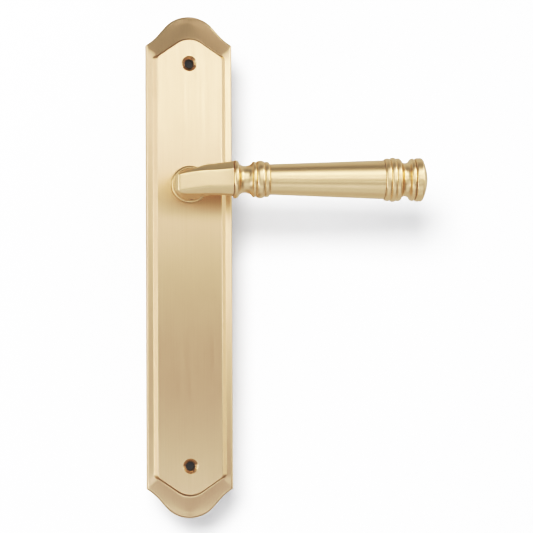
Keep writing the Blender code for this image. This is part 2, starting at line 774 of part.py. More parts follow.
def neck_rings():
    """Sections from the collar out along the shank, round the elbow and along to the grip."""
    pivot_x = NECK_INNER_X + NECK_INNER_RADIUS
    pivot_y = -GRIP_AXIS_HEIGHT + ARM_HALF_DEPTH + NECK_INNER_RADIUS
    base_y = -(PLATE_HEIGHT + COLLAR_STANDOFF + GAP)
    foot = FOOT_RADIUS * MM
    rings = []
    for i in range(SHANK_STEPS):
        share = i / SHANK_STEPS
        y = base_y + (pivot_y - base_y) * share
        inner = pivot_x - foot * (1 - share) - NECK_INNER_X * share
        outer = pivot_x + foot * (1 - share) - NECK_OUTER_X * share
        section = soft_section(inner, outer, mixed("foot", "shank_end", share))
        rings.append([(pivot_x - d, y, z) for d, z in section])
    for (across, forward), section in elbow_line():
        outer = math.hypot(across, forward)
        ring = []
        for d, z in soft_section(NECK_INNER_RADIUS, outer, section):
            ring.append((pivot_x - d * across / outer, pivot_y - d * forward / outer, z))
        rings.append(ring)
    middle = NECK_INNER_RADIUS + ARM_HALF_DEPTH
    for i in range(1, ARM_STEPS + 1):
        share = i / ARM_STEPS
        x = pivot_x + (NECK_END_X - pivot_x) * share
        depth = ARM_HALF_DEPTH + (ARM_END_HALF_DEPTH - ARM_HALF_DEPTH) * share**2
        section = soft_section(middle - depth, middle + depth, mixed("arm_start", "arm_end", share))
        rings.append([(x, pivot_y - d, z) for d, z in section])
    return rings


def journal_profile():
    """The round journal that turns in the bush, with the groove for its retaining ring."""
    groove_low, groove_high = CLIP_GROOVE_HEIGHTS
    return [
        (0.0, PLATE_HEIGHT + COLLAR_STANDOFF + 3 * MM),
        (JOURNAL_RADIUS, PLATE_HEIGHT + COLLAR_STANDOFF + 3 * MM),
        (JOURNAL_RADIUS, groove_high),
        (CLIP_GROOVE_RADIUS, groove_high),
        (CLIP_GROOVE_RADIUS, groove_low),
        (JOURNAL_RADIUS, groove_low),
        (JOURNAL_RADIUS, JOURNAL_END_HEIGHT),
        (0.0, JOURNAL_END_HEIGHT),
    ]


def make_neck(lever):
    neck = add_object("lever_neck", loft_mesh("lever_neck", neck_rings()), BRASS, lever)
    journal = add_turned(
        "join_journal", journal_profile(), None, "front", lever, closed=False, steps=32
    )
    add_boolean(neck, journal, "UNION")
    socket_half = SPINDLE_SIDE / 2 + SOCKET_CLEARANCE
    socket = box_mesh(
        "cut_spindle_socket",
        (-socket_half, socket_half),
        (JOURNAL_END_HEIGHT - CUTTER_EXTRA, -SPINDLE_FRONT_Y + GAP),
        (-socket_half, socket_half),
    )
    rod_hole = cylinder_mesh(
        "cut_rod_hole",
        BORE_RADIUS,
        (TIE_ROD_START_X - GAP, -GRIP_AXIS_HEIGHT, 0),
        (NECK_END_X + CUTTER_EXTRA, -GRIP_AXIS_HEIGHT, 0),
    )
    grub_hole = cylinder_mesh(
        "cut_grub_hole",
        GRUB_SCREW_RADIUS + GAP,
        (0, -GRUB_SCREW_HEIGHT, -SPINDLE_SIDE / 4),
        (0, -GRUB_SCREW_HEIGHT, -FOOT_RADIUS * MM - CUTTER_EXTRA),
        16,
    )
    for mesh in (socket, rod_hole, grub_hole):
        add_boolean(neck, add_object(mesh.name, mesh, None, lever))


def make_grub_screw(lever):
    top = -SPINDLE_SIDE / 2 - GAP
    bottom = top - GRUB_SCREW_LENGTH
    y = -GRUB_SCREW_HEIGHT
    mesh = cylinder_mesh("grub_screw", GRUB_SCREW_RADIUS, (0, y, top), (0, y, bottom), 16)
    screw = add_object("grub_screw", mesh, STEEL, lever)
    socket = cylinder_mesh(
        "cut_grub_socket",
        GRUB_SOCKET_RADIUS,
        (0, y, bottom + GRUB_SOCKET_DEPTH),
        (0, y, bottom - CUTTER_EXTRA),
        6,
    )
    add_boolean(screw, add_object(socket.name, socket, None, lever))


def make_spindle(lever):
    half = SPINDLE_SIDE / 2
    mesh = box_mesh("spindle", (-half, half), (-SPINDLE_REAR_Y, -SPINDLE_FRONT_Y), (-half, half))
    spindle = add_object("spindle", mesh, STEEL, lever)
    bevel = spindle.modifiers.new("chamfer", "BEVEL")
    bevel.width = SPINDLE_CHAMFER
    bevel.segments = 1


def make_retaining_ring(lever):
    """A snap ring in the journal's groove, open at the bottom."""
    low, high = CLIP_GROOVE_HEIGHTS
    inner = CLIP_GROOVE_RADIUS + GAP
    start = -math.pi / 2 + CLIP_OPENING / 2
    stop = 1.5 * math.pi - CLIP_OPENING / 2
    centre = (0.0, 0.0)
    outline = arc(centre, CLIP_OUTER_RADIUS, start, stop, 24)
    outline += arc(centre, inner, stop, start, 24)
    heights = (low + TIGHT_GAP, high - TIGHT_GAP)
    mesh = prism_mesh("retaining_ring", outline, heights)
    add_object("retaining_ring", mesh, SPRING_STEEL, lever)


def quarter_turn(start, end, leaves_upright, steps=CURVE_STEPS):
    """A quarter ellipse of a profile, between two (x, radius) points, without its first point."""
    points = []
    for i in range(1, steps + 1):
        angle = math.pi / 2 * i / steps
        fast = math.sin(angle)
        slow = 1 - math.cos(angle)
        share_x, share_r = (slow, fast) if leaves_upright else (fast, slow)
        x = start[0] + (end[0] - start[0]) * share_x
        radius = start[1] + (end[1] - start[1]) * share_r
        points.append((x, radius))
    return points


def bead(start, peak, end):
    """A half-round bead between two (x, radius) points, without its first point."""
    return quarter_turn(start, peak, True) + quarter_turn(peak, end, False)


def hollow(start, lowest, end):
    """A cove between two (x, radius) points, without its first point."""
    return quarter_turn(start, lowest, True) + quarter_turn(lowest, end, False)


def millimetres(x, radius):
    return (x * MM, radius * MM)


def inner_ferrule_outline():
    """A bead, a deep cove and three beads, from the neck to the grip."""
    start = (FERRULE_START_X, 7.7 * MM)
    outline = [start]
    outline += bead(start, millimetres(18.15, 8.75), millimetres(19.4, 7.9))
    outline += hollow(outline[-1], millimetres(22.2, 6.1), millimetres(25.8, 7.7))
    outline += bead(outline[-1], millimetres(26.5, 8.15), millimetres(27.5, 7.7))
    outline += bead(outline[-1], millimetres(29.5, 8.65), millimetres(31.4, 7.8))
    outline += bead(outline[-1], millimetres(32.5, 8.1), millimetres(33.7, 7.3))
    return outline


def outer_ferrule_outline():
    """Three beads, a cove and a bead, from the grip to the end cap."""
    start = (BARREL_END_X + GAP, 9.2 * MM)
    outline = [start]
    outline += bead(start, millimetres(88.5, 9.85), millimetres(89.7, 9.45))
    outline += bead(outline[-1], millimetres(91.0, 10.2), millimetres(92.3, 9.6))
    outline += bead(outline[-1], millimetres(93.4, 9.9), millimetres(94.6, 9.2))
    outline += hollow(millimetres(94.8, 9.0), millimetres(96.7, 7.7), millimetres(98.8, 9.0))
    outline += bead(outline[-1], millimetres(100.05, 9.8), millimetres(101.2, 9.35))
    return outline


def end_cap_outline():
    """A disc with a round edge and a low dome."""
    outline = [(END_CAP_START_X, 9.3 * MM)]
    outline += quarter_turn(outline[-1], (102.3 * MM, END_CAP_RADIUS), True)
    outline.append((103.9 * MM, END_CAP_RADIUS))
    outline += quarter_turn(outline[-1], (DOME_START_X, 9.2 * MM), False)
    rise = LEVER_TIP_X - DOME_START_X
    base = outline[-1][1]
    dome_steps = 6
    for i in range(1, dome_steps + 1):
        radius = base * (1 - i / dome_steps)
        outline.append((LEVER_TIP_X - rise * (radius / base) ** 2, radius))
    return outline


def add_grip_piece(name, outline, lever, blind_depth=None):
    """A turned piece of the grip, bored through or, for the cap, bored from its inner end."""
    start_x = outline[0][0]
    profile = [(radius, x) for x, radius in reversed(outline)]
    if blind_depth is None:
        profile += [(BORE_RADIUS, start_x), (BORE_RADIUS, outline[-1][0])]
    else:
        floor = start_x + blind_depth
        profile += [(BORE_RADIUS, start_x), (BORE_RADIUS, floor), (0.0, floor)]
    piece = add_turned(name, profile, BRASS, "grip", lever, closed=blind_depth is None)
    piece.location = (0.0, -GRIP_AXIS_HEIGHT, 0.0)


def make_grip(lever):
    add_grip_piece("inner_ferrule", inner_ferrule_outline(), lever)
    barrel = [
        (BARREL_START_X, BARREL_START_RADIUS),
        (BARREL_END_X, BARREL_END_RADIUS),
    ]
    add_grip_piece("grip_barrel", barrel, lever)
    add_grip_piece("outer_ferrule", outer_ferrule_outline(), lever)
    add_grip_piece("end_cap", end_cap_outline(), lever, blind_depth=END_CAP_BORE_DEPTH)


def make_tie_rod(lever):
    start = (TIE_ROD_START_X, -GRIP_AXIS_HEIGHT, 0)
    end = (END_CAP_START_X + TIE_ROD_IN_CAP, -GRIP_AXIS_HEIGHT, 0)
    mesh = cylinder_mesh("tie_rod", TIE_ROD_RADIUS, start, end, 20)
    add_object("tie_rod", mesh, STEEL, lever)


def lug_bar(name, angle):
    """A flat bar with round ends, which makes two opposite lugs."""
    ends = arc((LUG_RADIUS, 0.0), LUG_HALF_WIDTH, -math.pi / 2, math.pi / 2, 8)
    outline = [(LUG_RADIUS, -LUG_HALF_WIDTH)] + ends
    outline += [(-x, -z) for x, z in outline]
    turned = [
        (x * math.cos(angle) - z * math.sin(angle), x * math.sin(angle) + z * math.cos(angle))
        for x, z in outline
    ]
    return prism_mesh(name, turned, ROTOR_HEIGHTS)


def make_rotor(lever):
    """The cassette's rotor: two lugs that push the springs, and two that meet the stop posts."""
    low, high = ROTOR_HEIGHTS
    hub = cylinder_mesh("cassette_rotor", ROTOR_HUB_RADIUS, (0, -low, 0), (0, -high, 0), 32)
    rotor = add_object("cassette_rotor", hub, STEEL, lever)
    angles = {"spring": 0.0, "stop": 2 * post_angle() + LEVER_TRAVEL}
    for name, angle in angles.items():
        bar = lug_bar(f"join_{name}_lugs", angle)
        add_boolean(rotor, add_object(bar.name, bar, None, lever), "UNION")
    half = SPINDLE_SIDE / 2 + SOCKET_CLEARANCE
    square = box_mesh(
        "cut_rotor_square",
        (-half, half),
        (low - CUTTER_EXTRA, high + CUTTER_EXTRA),
        (-half, half),
    )
    add_boolean(rotor, add_object(square.name, square, None, lever))


# Spring plungers and springs, one on each side of the rotor


def make_plunger(side, sign):
    """A square head under a lug, with a round stem inside its spring. It slides along Z."""
    top = LUG_HALF_WIDTH + PLUNGER_CLEARANCE
    axis = add_empty(f"{side}_plunger_axis", (sign * SPRING_X, -SPRING_HEIGHT, -sign * top))
    name = f"{side}_plunger"
    head = box_mesh(
        name,
        sorted(sign * (x - SPRING_X) for x in PLUNGER_X),
        [height - SPRING_HEIGHT for height in PLUNGER_HEIGHTS],
        sorted((0.0, -sign * PLUNGER_HEAD)),
    )
    plunger = add_object(name, head, STEEL, axis)
    stem = cylinder_mesh(
        f"join_{side}_stem",
        PLUNGER_STEM_RADIUS,
        (0, 0, -sign * PLUNGER_HEAD / 2),
        (0, 0, -sign * (PLUNGER_HEAD + PLUNGER_STEM)),
        16,
    )
    add_boolean(plunger, add_object(stem.name, stem, None, axis), "UNION")


def make_spring(side, sign):
    """A compression spring between the plunger's head and the end wall of the case."""
    plunger_end = LUG_HALF_WIDTH + PLUNGER_CLEARANCE + PLUNGER_HEAD
    wire = SPRING_WIRE_RADIUS
    start = plunger_end + GAP + wire
    end = CASE_HALF_LENGTH - CASE_WALL - GAP - wire
    count = SPRING_TURNS * SPRING_POINTS_PER_TURN
    curve = bpy.data.curves.new(f"{side}_spring", "CURVE")
    curve.dimensions = "3D"
    curve.bevel_depth = wire
    curve.bevel_resolution = 2
    curve.use_fill_caps = True
    spline = curve.splines.new("POLY")
    spline.points.add(count)
    for i in range(count + 1):
        angle = math.tau * i / SPRING_POINTS_PER_TURN
        x = sign * SPRING_X + SPRING_RADIUS * math.cos(angle)
        y = -SPRING_HEIGHT + SPRING_RADIUS * math.sin(angle)
        z = -sign * (start + (end - start) * i / count)
        spline.points[i].co = (x, y, z, 1.0)
    add_object(f"{side}_spring", curve, SPRING_STEEL)


def shade_smooth_pieces():
    for obj in PARTS.objects:
        if obj.type == "MESH" and obj.data.polygons:
            obj.data.shade_smooth()
            obj.data.set_sharp_from_angle(angle=math.radians(25.0))


clear_scene()
PARTS = make_collection("lever_handle")
CUTTERS = make_collection("cutters")

make_backplate()
make_collar()
make_bush()
make_cassette_case()
make_cassette_cover()
make_cassette_screws()

LEVER_AXIS = add_empty("lever_axis")
make_neck(LEVER_AXIS)
make_grub_screw(LEVER_AXIS)
make_spindle(LEVER_AXIS)
make_retaining_ring(LEVER_AXIS)
make_grip(LEVER_AXIS)
make_tie_rod(LEVER_AXIS)
make_rotor(LEVER_AXIS)

for spring_side, spring_sign in (("right", 1), ("left", -1)):
    make_plunger(spring_side, spring_sign)
    make_spring(spring_side, spring_sign)

shade_smooth_pieces()
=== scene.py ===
"""The visible pieces of a lever handle on a long backplate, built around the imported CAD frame.

The CAD model's frame is kept: +X runs along the grip, +Y goes into the door and +Z is up, with
the origin on the spindle's axis at the door face. Heights above the door face run along -Y.
Each piece stands for one CAD node, with the same shape in a finer mesh and softer edges.
"""

import json
import math

import bmesh
import bpy
from mathutils import Matrix, Vector


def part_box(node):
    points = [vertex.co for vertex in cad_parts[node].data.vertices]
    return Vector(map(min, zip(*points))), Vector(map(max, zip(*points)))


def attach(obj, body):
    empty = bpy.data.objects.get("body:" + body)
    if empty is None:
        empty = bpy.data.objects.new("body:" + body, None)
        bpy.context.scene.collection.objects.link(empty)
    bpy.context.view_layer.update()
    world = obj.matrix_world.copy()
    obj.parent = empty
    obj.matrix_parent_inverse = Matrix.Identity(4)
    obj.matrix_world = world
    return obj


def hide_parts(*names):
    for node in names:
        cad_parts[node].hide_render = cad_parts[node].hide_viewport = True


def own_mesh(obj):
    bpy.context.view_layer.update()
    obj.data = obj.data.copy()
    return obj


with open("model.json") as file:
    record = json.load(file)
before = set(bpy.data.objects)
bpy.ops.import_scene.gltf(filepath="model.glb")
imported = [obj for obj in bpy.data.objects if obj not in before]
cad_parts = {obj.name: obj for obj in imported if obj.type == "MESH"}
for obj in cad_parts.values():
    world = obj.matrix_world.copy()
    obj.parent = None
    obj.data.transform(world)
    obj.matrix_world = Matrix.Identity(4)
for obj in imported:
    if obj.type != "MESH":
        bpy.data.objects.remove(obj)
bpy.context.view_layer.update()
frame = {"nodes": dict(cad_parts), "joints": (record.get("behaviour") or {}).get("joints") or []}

MM = 0.001
GAP = 0.3 * MM
SEAM = 0.04 * MM  # between the visible pieces that are screwed tight together
PAST = 2.0 * MM  # how far a cutter runs past the face that it opens

TURNED_STEPS = 128
HUB_STEPS = 96
SMALL_STEPS = 48
ROUND_STEPS = 64
CURVE_STEPS = 8  # in each quarter turn of a bead or a hollow
SCREW_HOLE_STEPS = 32
LUG_END_STEPS = 16
KEY_SIDES = 6
CORNER_STEPS = 6
EDGE_STEPS = 4
LONGEST_ROUNDING = 0.45  # share of an edge that one rounded corner may take
SMOOTH_BELOW = math.radians(28.0)


# Sizes read from the frame


def side(node, corner, axis):
    """One coordinate of a CAD node's lowest (0) or highest (1) corner."""
    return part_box(node)[corner]["xyz".index(axis)]


def heights_of(node):
    """The lowest and the highest height of a CAD node above the door face."""
    return -side(node, 1, "y"), -side(node, 0, "y")


PLATE_TOP_Z = side("backplate", 1, "z")
PLATE_BOTTOM_Z = side("backplate", 0, "z")
PLATE_HALF_WIDTH = side("backplate", 1, "x")
PLATE_HEIGHT = -side("backplate", 0, "y")
COLLAR_HEIGHT = -side("neck_collar", 0, "y")
COLLAR_RADIUS = side("neck_collar", 1, "z")
GRIP_AXIS_HEIGHT = -(side("grip_barrel", 0, "y") + side("grip_barrel", 1, "y")) / 2
SHEET_FRONT_HEIGHT = -side("neck_collar", 1, "y")  # the inside face of the plate's panel

# Backplate
CROWN_RADIUS = 15.0 * MM
CROWN_ANGLE = math.radians(49.0)
CROWN_STEPS = 20
SHOULDER_RADIUS = 24.0 * MM
SHOULDER_ANGLE = math.radians(31.0)
SHOULDER_STEPS = 12
SIDE_POINTS = 8  # on each end of a straight side, where the border bends
PANEL_HALF_WIDTH = 15.4 * MM
PANEL_CORNER_INSET = 19.8 * MM
PANEL_GABLE_ANGLE = math.radians(34.5)
PANEL_APEX_RADIUS = 10.0 * MM
PANEL_CORNER_RADIUS = 2.5 * MM
PANEL_EDGE_ROUNDING = 0.35 * MM
STEP_WIDTH_AT_SIDE = 1.9 * MM
STEP_WIDTH_AT_END = 0.45 * MM
STEP_CHANGE_INSETS = (14.0 * MM, 22.0 * MM)  # below an apex, where its width changes
STEP_FOOT_REACH = (0.12, 0.16)  # shares of the border and of the step that round the step's foot
STEP_TOP_REACH = (0.14, 1.0)
BORDER_HEIGHT = 6.6 * MM
BORDER_SIDE_DROP = 0.6 * MM
EDGE_ROUNDING = 1.2 * MM
BACK_EDGE_ROUNDING = 0.15 * MM
END_FALL_ANGLE = math.radians(6.5)
END_BEND_START = 22.0 * MM
END_BEND_STOP = 18.0 * MM
SIDE_POINTS_START = END_BEND_START + 2.0 * MM
POCKET_HALF_WIDTH = 13.8 * MM
POCKET_TOP_Z = 42.0 * MM
POCKET_BOTTOM_Z = -118.0 * MM
POCKET_CORNER_RADIUS = 4.0 * MM
SCREW_HOLE_Z = (58.0 * MM, -134.0 * MM)
SCREW_HOLE_RADIUS = 2.1 * MM
COUNTERSINK_RADIUS = 3.6 * MM
COUNTERSINK_DEPTH = 1.6 * MM
HOLE_EDGE_ROUNDING = 0.12 * MM

# Collar and bush
COLLAR_EDGE_ROUNDING = 0.9 * MM
COLLAR_SPIGOT_RADIUS = 8.2 * MM
COLLAR_BORE_RADIUS = 7.7 * MM
BUSH_INNER_RADIUS = 6.8 * MM

# Lever neck
JOURNAL_RADIUS = 6.5 * MM
JOURNAL_END_HEIGHT = 4.9 * MM
JOURNAL_IN_NECK = 3.0 * MM
CLIP_GROOVE_RADIUS = 6.0 * MM
CLIP_GROOVE_HEIGHTS = (5.75 * MM, 6.55 * MM)
NECK_OUTER_X = -9.0 * MM
NECK_INNER_X = 7.0 * MM
NECK_INNER_RADIUS = 1.5 * MM
NECK_CORNER_RADIUS = 1.5 * MM
NECK_END_X = side("lever_neck", 1, "x") + GAP - SEAM
ARM_HALF_DEPTH = 6.6 * MM
ARM_END_HALF_DEPTH = 7.6 * MM
SHANK_STEPS = 10
ELBOW_SIDE_STEPS = 10
ELBOW_CORNER_STEPS = 8
ELBOW_FRONT_STEPS = 14
ARM_STEPS = 10

# The neck's section at five places, in millimetres: its middle above the axis, how far its ridges
# are rounded, then its upper and its lower half as five corners of (depth, distance from the
# middle), the first three measured in from the outer side and the last two from the inner side.
FOOT_RADIUS = 8.3  # in millimetres, like the sections
FOOT_HALF = ((0.4, 2.6), (3.4, 6.7), (8.3, 8.3), (3.4, 6.7), (0.4, 2.6))
ARM_START_HALF = ((0.0, 3.9), (3.1, 7.0), (5.0, 7.0), (2.8, 7.0), (0.0, 4.2))
ARM_END_HALF = ((0.0, 4.2), (3.5, 7.75), (5.5, 7.75), (3.5, 7.75), (0.0, 4.2))
NECK_SECTIONS = {
    "foot": (0.0, 2.3, FOOT_HALF, FOOT_HALF),
    "shank_end": (
        -0.9,
        0.9,
        ((0.0, 2.9), (3.5, 5.0), (9.0, 6.2), (2.5, 6.2), (0.0, 4.0)),
        ((0.0, 4.4), (2.4, 6.2), (6.0, 6.4), (2.5, 6.4), (0.0, 4.0)),
    ),
    "corner": (
        -1.0,
        0.8,
        ((0.0, 2.9), (0.4, 3.2), (10.4, 6.2), (2.5, 6.2), (0.0, 4.0)),
        ((0.0, 4.6), (1.8, 6.0), (6.0, 6.4), (2.5, 6.4), (0.0, 4.0)),
    ),
    "arm_start": (0.0, 0.8, ARM_START_HALF, ARM_START_HALF),
    "arm_end": (0.45, 0.8, ARM_END_HALF, ARM_END_HALF),
}
ROD_HOLE_START_X = 10.7 * MM
GRUB_SCREW_HEIGHT = 22.0 * MM
GRUB_HOLE_RADIUS = 2.3 * MM
GRUB_KEY_RADIUS = 1.15 * MM
GRUB_KEY_DEPTH = 1.5 * MM

# Grip
BORE_RADIUS = 2.9 * MM
BARREL_START_RADIUS = 7.0 * MM
BEAD_LEAN = 0.4  # how far a bead's sides lean from upright at its foot
CAP_BORE_DEPTH = 2.2 * MM
CAP_START_RADIUS = 9.3 * MM
CAP_RADIUS = 10.05 * MM
CAP_RIM_X = (102.3 * MM, 103.9 * MM)
DOME_START_X = 105.0 * MM
DOME_RADIUS = 9.2 * MM
DOME_STEPS = 16

# A ferrule's radius at its start, then each bead or hollow as (x, radius) at its middle and at its
# end, in millimetres.
INNER_FERRULE_START = 7.7
INNER_FERRULE_CURVES = (
    ((18.15, 8.75), (19.4, 7.9)),
    ((22.2, 6.1), (25.8, 7.7)),
    ((26.5, 8.15), (27.5, 7.7)),
    ((29.5, 8.65), (31.4, 7.8)),
    ((32.5, 8.1), (33.7, 7.3)),
)
OUTER_FERRULE_START = 9.2
OUTER_FERRULE_BEADS = (
    ((88.5, 9.85), (89.7, 9.45)),
    ((91.0, 10.2), (92.3, 9.6)),
    ((93.4, 9.9), (94.6, 9.2)),
)
OUTER_FERRULE_COVE_START = (94.8, 9.0)
OUTER_FERRULE_COVE = (
    ((96.7, 7.7), (98.8, 9.0)),
    ((100.05, 9.8), (101.2, 9.35)),
)

# Spindle and cassette
SPINDLE_SIDE = 7.0 * MM
SPINDLE_CHAMFER = 0.5 * MM
SOCKET_CLEARANCE = 0.2 * MM
SPINDLE_FRONT_HEIGHT = -side("spindle", 0, "y")
CASE_WALL = 0.9 * MM
CASE_CORNER_RADIUS = 0.9 * MM
CASE_INSIDE_CORNER_RADIUS = 0.3 * MM
CASE_EDGE_ROUNDING = 0.15 * MM
CASE_HOLE_RADIUS = 7.7 * MM
CASE_FRONT_THICKNESS = 0.6 * MM
CASE_RIB_X = 5.65 * MM
CASE_RIB_START = 11.5 * MM
COVER_HOLE_RADIUS = 5.6 * MM
CASE_SCREW_RADIUS = 1.0 * MM
CASE_SCREW_HEAD_RADIUS = 2.0 * MM
CASE_SCREW_TIP = (0.8 * CASE_SCREW_RADIUS, 0.3 * MM)  # the radius and the length of its taper
SCREW_SLOT_HALF_SIZE = (0.8 * CASE_SCREW_HEAD_RADIUS, 0.25 * MM)
SCREW_SLOT_DEPTH = 0.4 * MM
COVER_SINK_PAST = 0.3 * MM
PILLAR_RADIUS = 2.6 * MM
ROTOR_HUB_RADIUS = 6.2 * MM
LUG_RADIUS = 9.0 * MM
LUG_HALF_WIDTH = 1.2 * MM
LEVER_TRAVEL = math.radians(frame["joints"][0]["range_deg"][1])
PLUNGER_HEAD = 3.2 * MM
PLUNGER_STEM_RADIUS = 1.0 * MM
PLUNGER_STEM_X = 9.0 * MM
SMALL_EDGE = 0.12 * MM
SPRING_WIRE_RADIUS = 0.25 * MM
SPRING_RADIUS = 1.55 * MM
SPRING_ACTIVE_TURNS = 6
SPRING_STEPS_PER_TURN = 24
SPRING_WIRE_STEPS = 12
SPRING_CLOSED_RISE = 2.2 * SPRING_WIRE_RADIUS  # in each of its two end turns


# Meshes


def linked(name, data):
    """A new object in the scene."""
    made = bpy.data.objects.new(name, data)
    bpy.context.scene.collection.objects.link(made)
    return made


def to_mesh(bm, name):
    mesh = bpy.data.meshes.new(name)
    bm.to_mesh(mesh)
    bm.free()
    return mesh


def bridge(bm, row, following):
    """Faces between two rows of vertices, either of which may be a single point on the axis."""
    for i in range(max(len(row), len(following))):
        places = ((row, i), (row, i + 1), (following, i + 1), (following, i))
        corners = [line[place % len(line)] for line, place in places]
        bm.faces.new(dict.fromkeys(corners))  # so that a point on the axis counts once


def skin_mesh(rows, closed=False):
    """A skin over rows of points, joined into a loop if closed and otherwise capped at its ends."""
    bm = bmesh.new()
    rows = [[bm.verts.new(point) for point in row] for row in rows]
    for row, following in zip(rows, rows[1:]):
        bridge(bm, row, following)
    if closed:
        bridge(bm, rows[-1], rows[0])
    else:
        for row in (rows[0], rows[-1]):
            if len(row) > 1:
                bm.faces.new(row)
    bmesh.ops.recalc_face_normals(bm, faces=bm.faces)
    return to_mesh(bm, "skin")


def level(ring, height):
    """An (x, z) ring at one height above the door face."""
    return [(x, -height, z) for x, z in ring]


def prism_mesh(outline, heights):
    """A flat (x, z) outline stretched between two heights."""
    return skin_mesh([level(outline, height) for height in heights])


def box_mesh(x_range, height_range, z_range):
    low_x, high_x = sorted(x_range)
    low_z, high_z = sorted(z_range)
    outline = [(low_x, low_z), (high_x, low_z), (high_x, high_z), (low_x, high_z)]
    return prism_mesh(outline, height_range)


def turned_mesh(profile, centre=(0.0, 0.0), steps=TURNED_STEPS, closed=False, along_grip=False):
    """A (radius, height) profile turned round an axis out of the door, or along the grip."""
    rows = []
    for radius, height in profile:
        ring = circle(centre, radius, steps if radius > 0 else 1)
        rows.append([(height, x, z) for x, z in ring] if along_grip else level(ring, height))
    return skin_mesh(rows, closed)


def cylinder_mesh(radius, start, end, steps=SMALL_STEPS):
    """A plain cylinder between two points."""
    ends = [Vector(start), Vector(end)]
    turn = (ends[1] - ends[0]).to_track_quat("Z", "Y").to_matrix()
    ring = [turn @ Vector((x, y, 0)) * radius for x, y in circle((0.0, 0.0), 1.0, steps)]
    return skin_mesh([[middle + point for point in ring] for middle in ends])


def upright_mesh(radius, heights, centre=(0.0, 0.0), steps=SMALL_STEPS):
    """A cylinder between two heights above the door face, round an (x, z) centre."""
    start, end = [(centre[0], -height, centre[1]) for height in heights]
    return cylinder_mesh(radius, start, end, steps)


def shaped(mesh, joins=(), cuts=()):
    """The mesh with other meshes joined to it and then cut from it."""
    base = linked("base", mesh)
    tools = []
    for operation, others in (("UNION", joins), ("DIFFERENCE", cuts)):
        for other in others:
            tool = linked("tool", other)
            modifier = base.modifiers.new("tool", "BOOLEAN")
            modifier.operation = operation
            modifier.solver = "EXACT"
            modifier.object = tool
            tools.append(tool)
    graph = bpy.context.evaluated_depsgraph_get()
    made = bpy.data.meshes.new_from_object(base.evaluated_get(graph))
    for obj in [base] + tools:
        bpy.data.objects.remove(obj)
    return made


# Outlines


def shares(steps):
    """Even shares of a way, from nought to one."""
    return [i / steps for i in range(steps + 1)]


def arc(centre, radius, start, stop, steps):
    """Points of an arc, from its first to its last."""
    angles = [start + (stop - start) * i / steps for i in range(steps + 1)]
    return [(centre[0] + radius * math.cos(a), centre[1] + radius * math.sin(a)) for a in angles]


def circle(centre, radius, steps):
    return arc(centre, radius, 0.0, math.tau, steps)[:-1]


def rounded_rectangle(x_range, z_range, radius):
    left, right = x_range[0] + radius, x_range[1] - radius
    bottom, top = z_range[0] + radius, z_range[1] - radius
    outline = []
    for number, centre in enumerate(((right, top), (left, top), (left, bottom), (right, bottom))):
        start = number * math.pi / 2
        outline += arc(centre, radius, start, start + math.pi / 2, CORNER_STEPS)
    return outline


def soft_corners(points, reach):
    """A closed outline with each corner drawn as a curve that starts and ends this far from it."""
    soft = []
    for i, corner in enumerate(points):
        corner = Vector(corner)
        ends = []
        for other in (points[i - 1], points[(i + 1) % len(points)]):
            edge = Vector(other) - corner
            ends.append(corner + edge.normalized() * min(reach, edge.length * LONGEST_ROUNDING))
        for share in shares(EDGE_STEPS):
            soft.append(ends[0].lerp(corner, share).lerp(corner.lerp(ends[1], share), share))
    return soft


def smooth_share(value, low, high):
    share = min(max((value - low) / (high - low), 0.0), 1.0)
    return share * share * (3 - 2 * share)


def offset_ring(ring, distances):
    """The ring with each point moved outwards, so that its edges shift by the distances given."""
    moved = []
    for i, (x, z) in enumerate(ring):
        before = Vector(ring[i]) - Vector(ring[i - 1])
        after = Vector(ring[(i + 1) % len(ring)]) - Vector(ring[i])
        first = Vector((before.y, -before.x)).normalized()
        second = Vector((after.y, -after.x)).normalized()
        mitre = (first + second).normalized()
        reach = distances[i] / mitre.dot(first)
        moved.append((x + mitre.x * reach, z + mitre.y * reach))
    return moved


def shifted(ring, distance):
    return offset_ring(ring, [distance] * len(ring))


# Backplate


def plate_quarter():
    """The plate's outline as (x, distance below the apex), from the side up to the apex."""
    crown_x = CROWN_RADIUS * math.sin(CROWN_ANGLE)
    crown_drop = CROWN_RADIUS * (1 - math.cos(CROWN_ANGLE))
    hollow_x = SHOULDER_RADIUS * (math.sin(CROWN_ANGLE) - math.sin(SHOULDER_ANGLE))
    straight_x = PLATE_HALF_WIDTH - crown_x - hollow_x
    hollow_top = (crown_x + straight_x, crown_drop + straight_x * math.tan(CROWN_ANGLE))
    centre_x = hollow_top[0] + SHOULDER_RADIUS * math.sin(CROWN_ANGLE)
    centre_inset = hollow_top[1] - SHOULDER_RADIUS * math.cos(CROWN_ANGLE)
    shoulder_inset = centre_inset + SHOULDER_RADIUS * math.cos(SHOULDER_ANGLE)
    fall = (SIDE_POINTS_START - shoulder_inset) / SIDE_POINTS
    outline = [(PLATE_HALF_WIDTH, SIDE_POINTS_START - fall * i) for i in range(SIDE_POINTS)]
    start, stop = math.pi / 2 + SHOULDER_ANGLE, math.pi / 2 + CROWN_ANGLE
    outline += arc((centre_x, centre_inset), SHOULDER_RADIUS, start, stop, SHOULDER_STEPS)
    return outline + crown(CROWN_RADIUS, CROWN_ANGLE, CROWN_RADIUS)


def crown(radius, half_angle, centre_inset):
    """The right half of a round top, from its side up to the apex."""
    start = half_angle - math.pi / 2
    return arc((0.0, centre_inset), radius, start, -math.pi / 2, CROWN_STEPS)


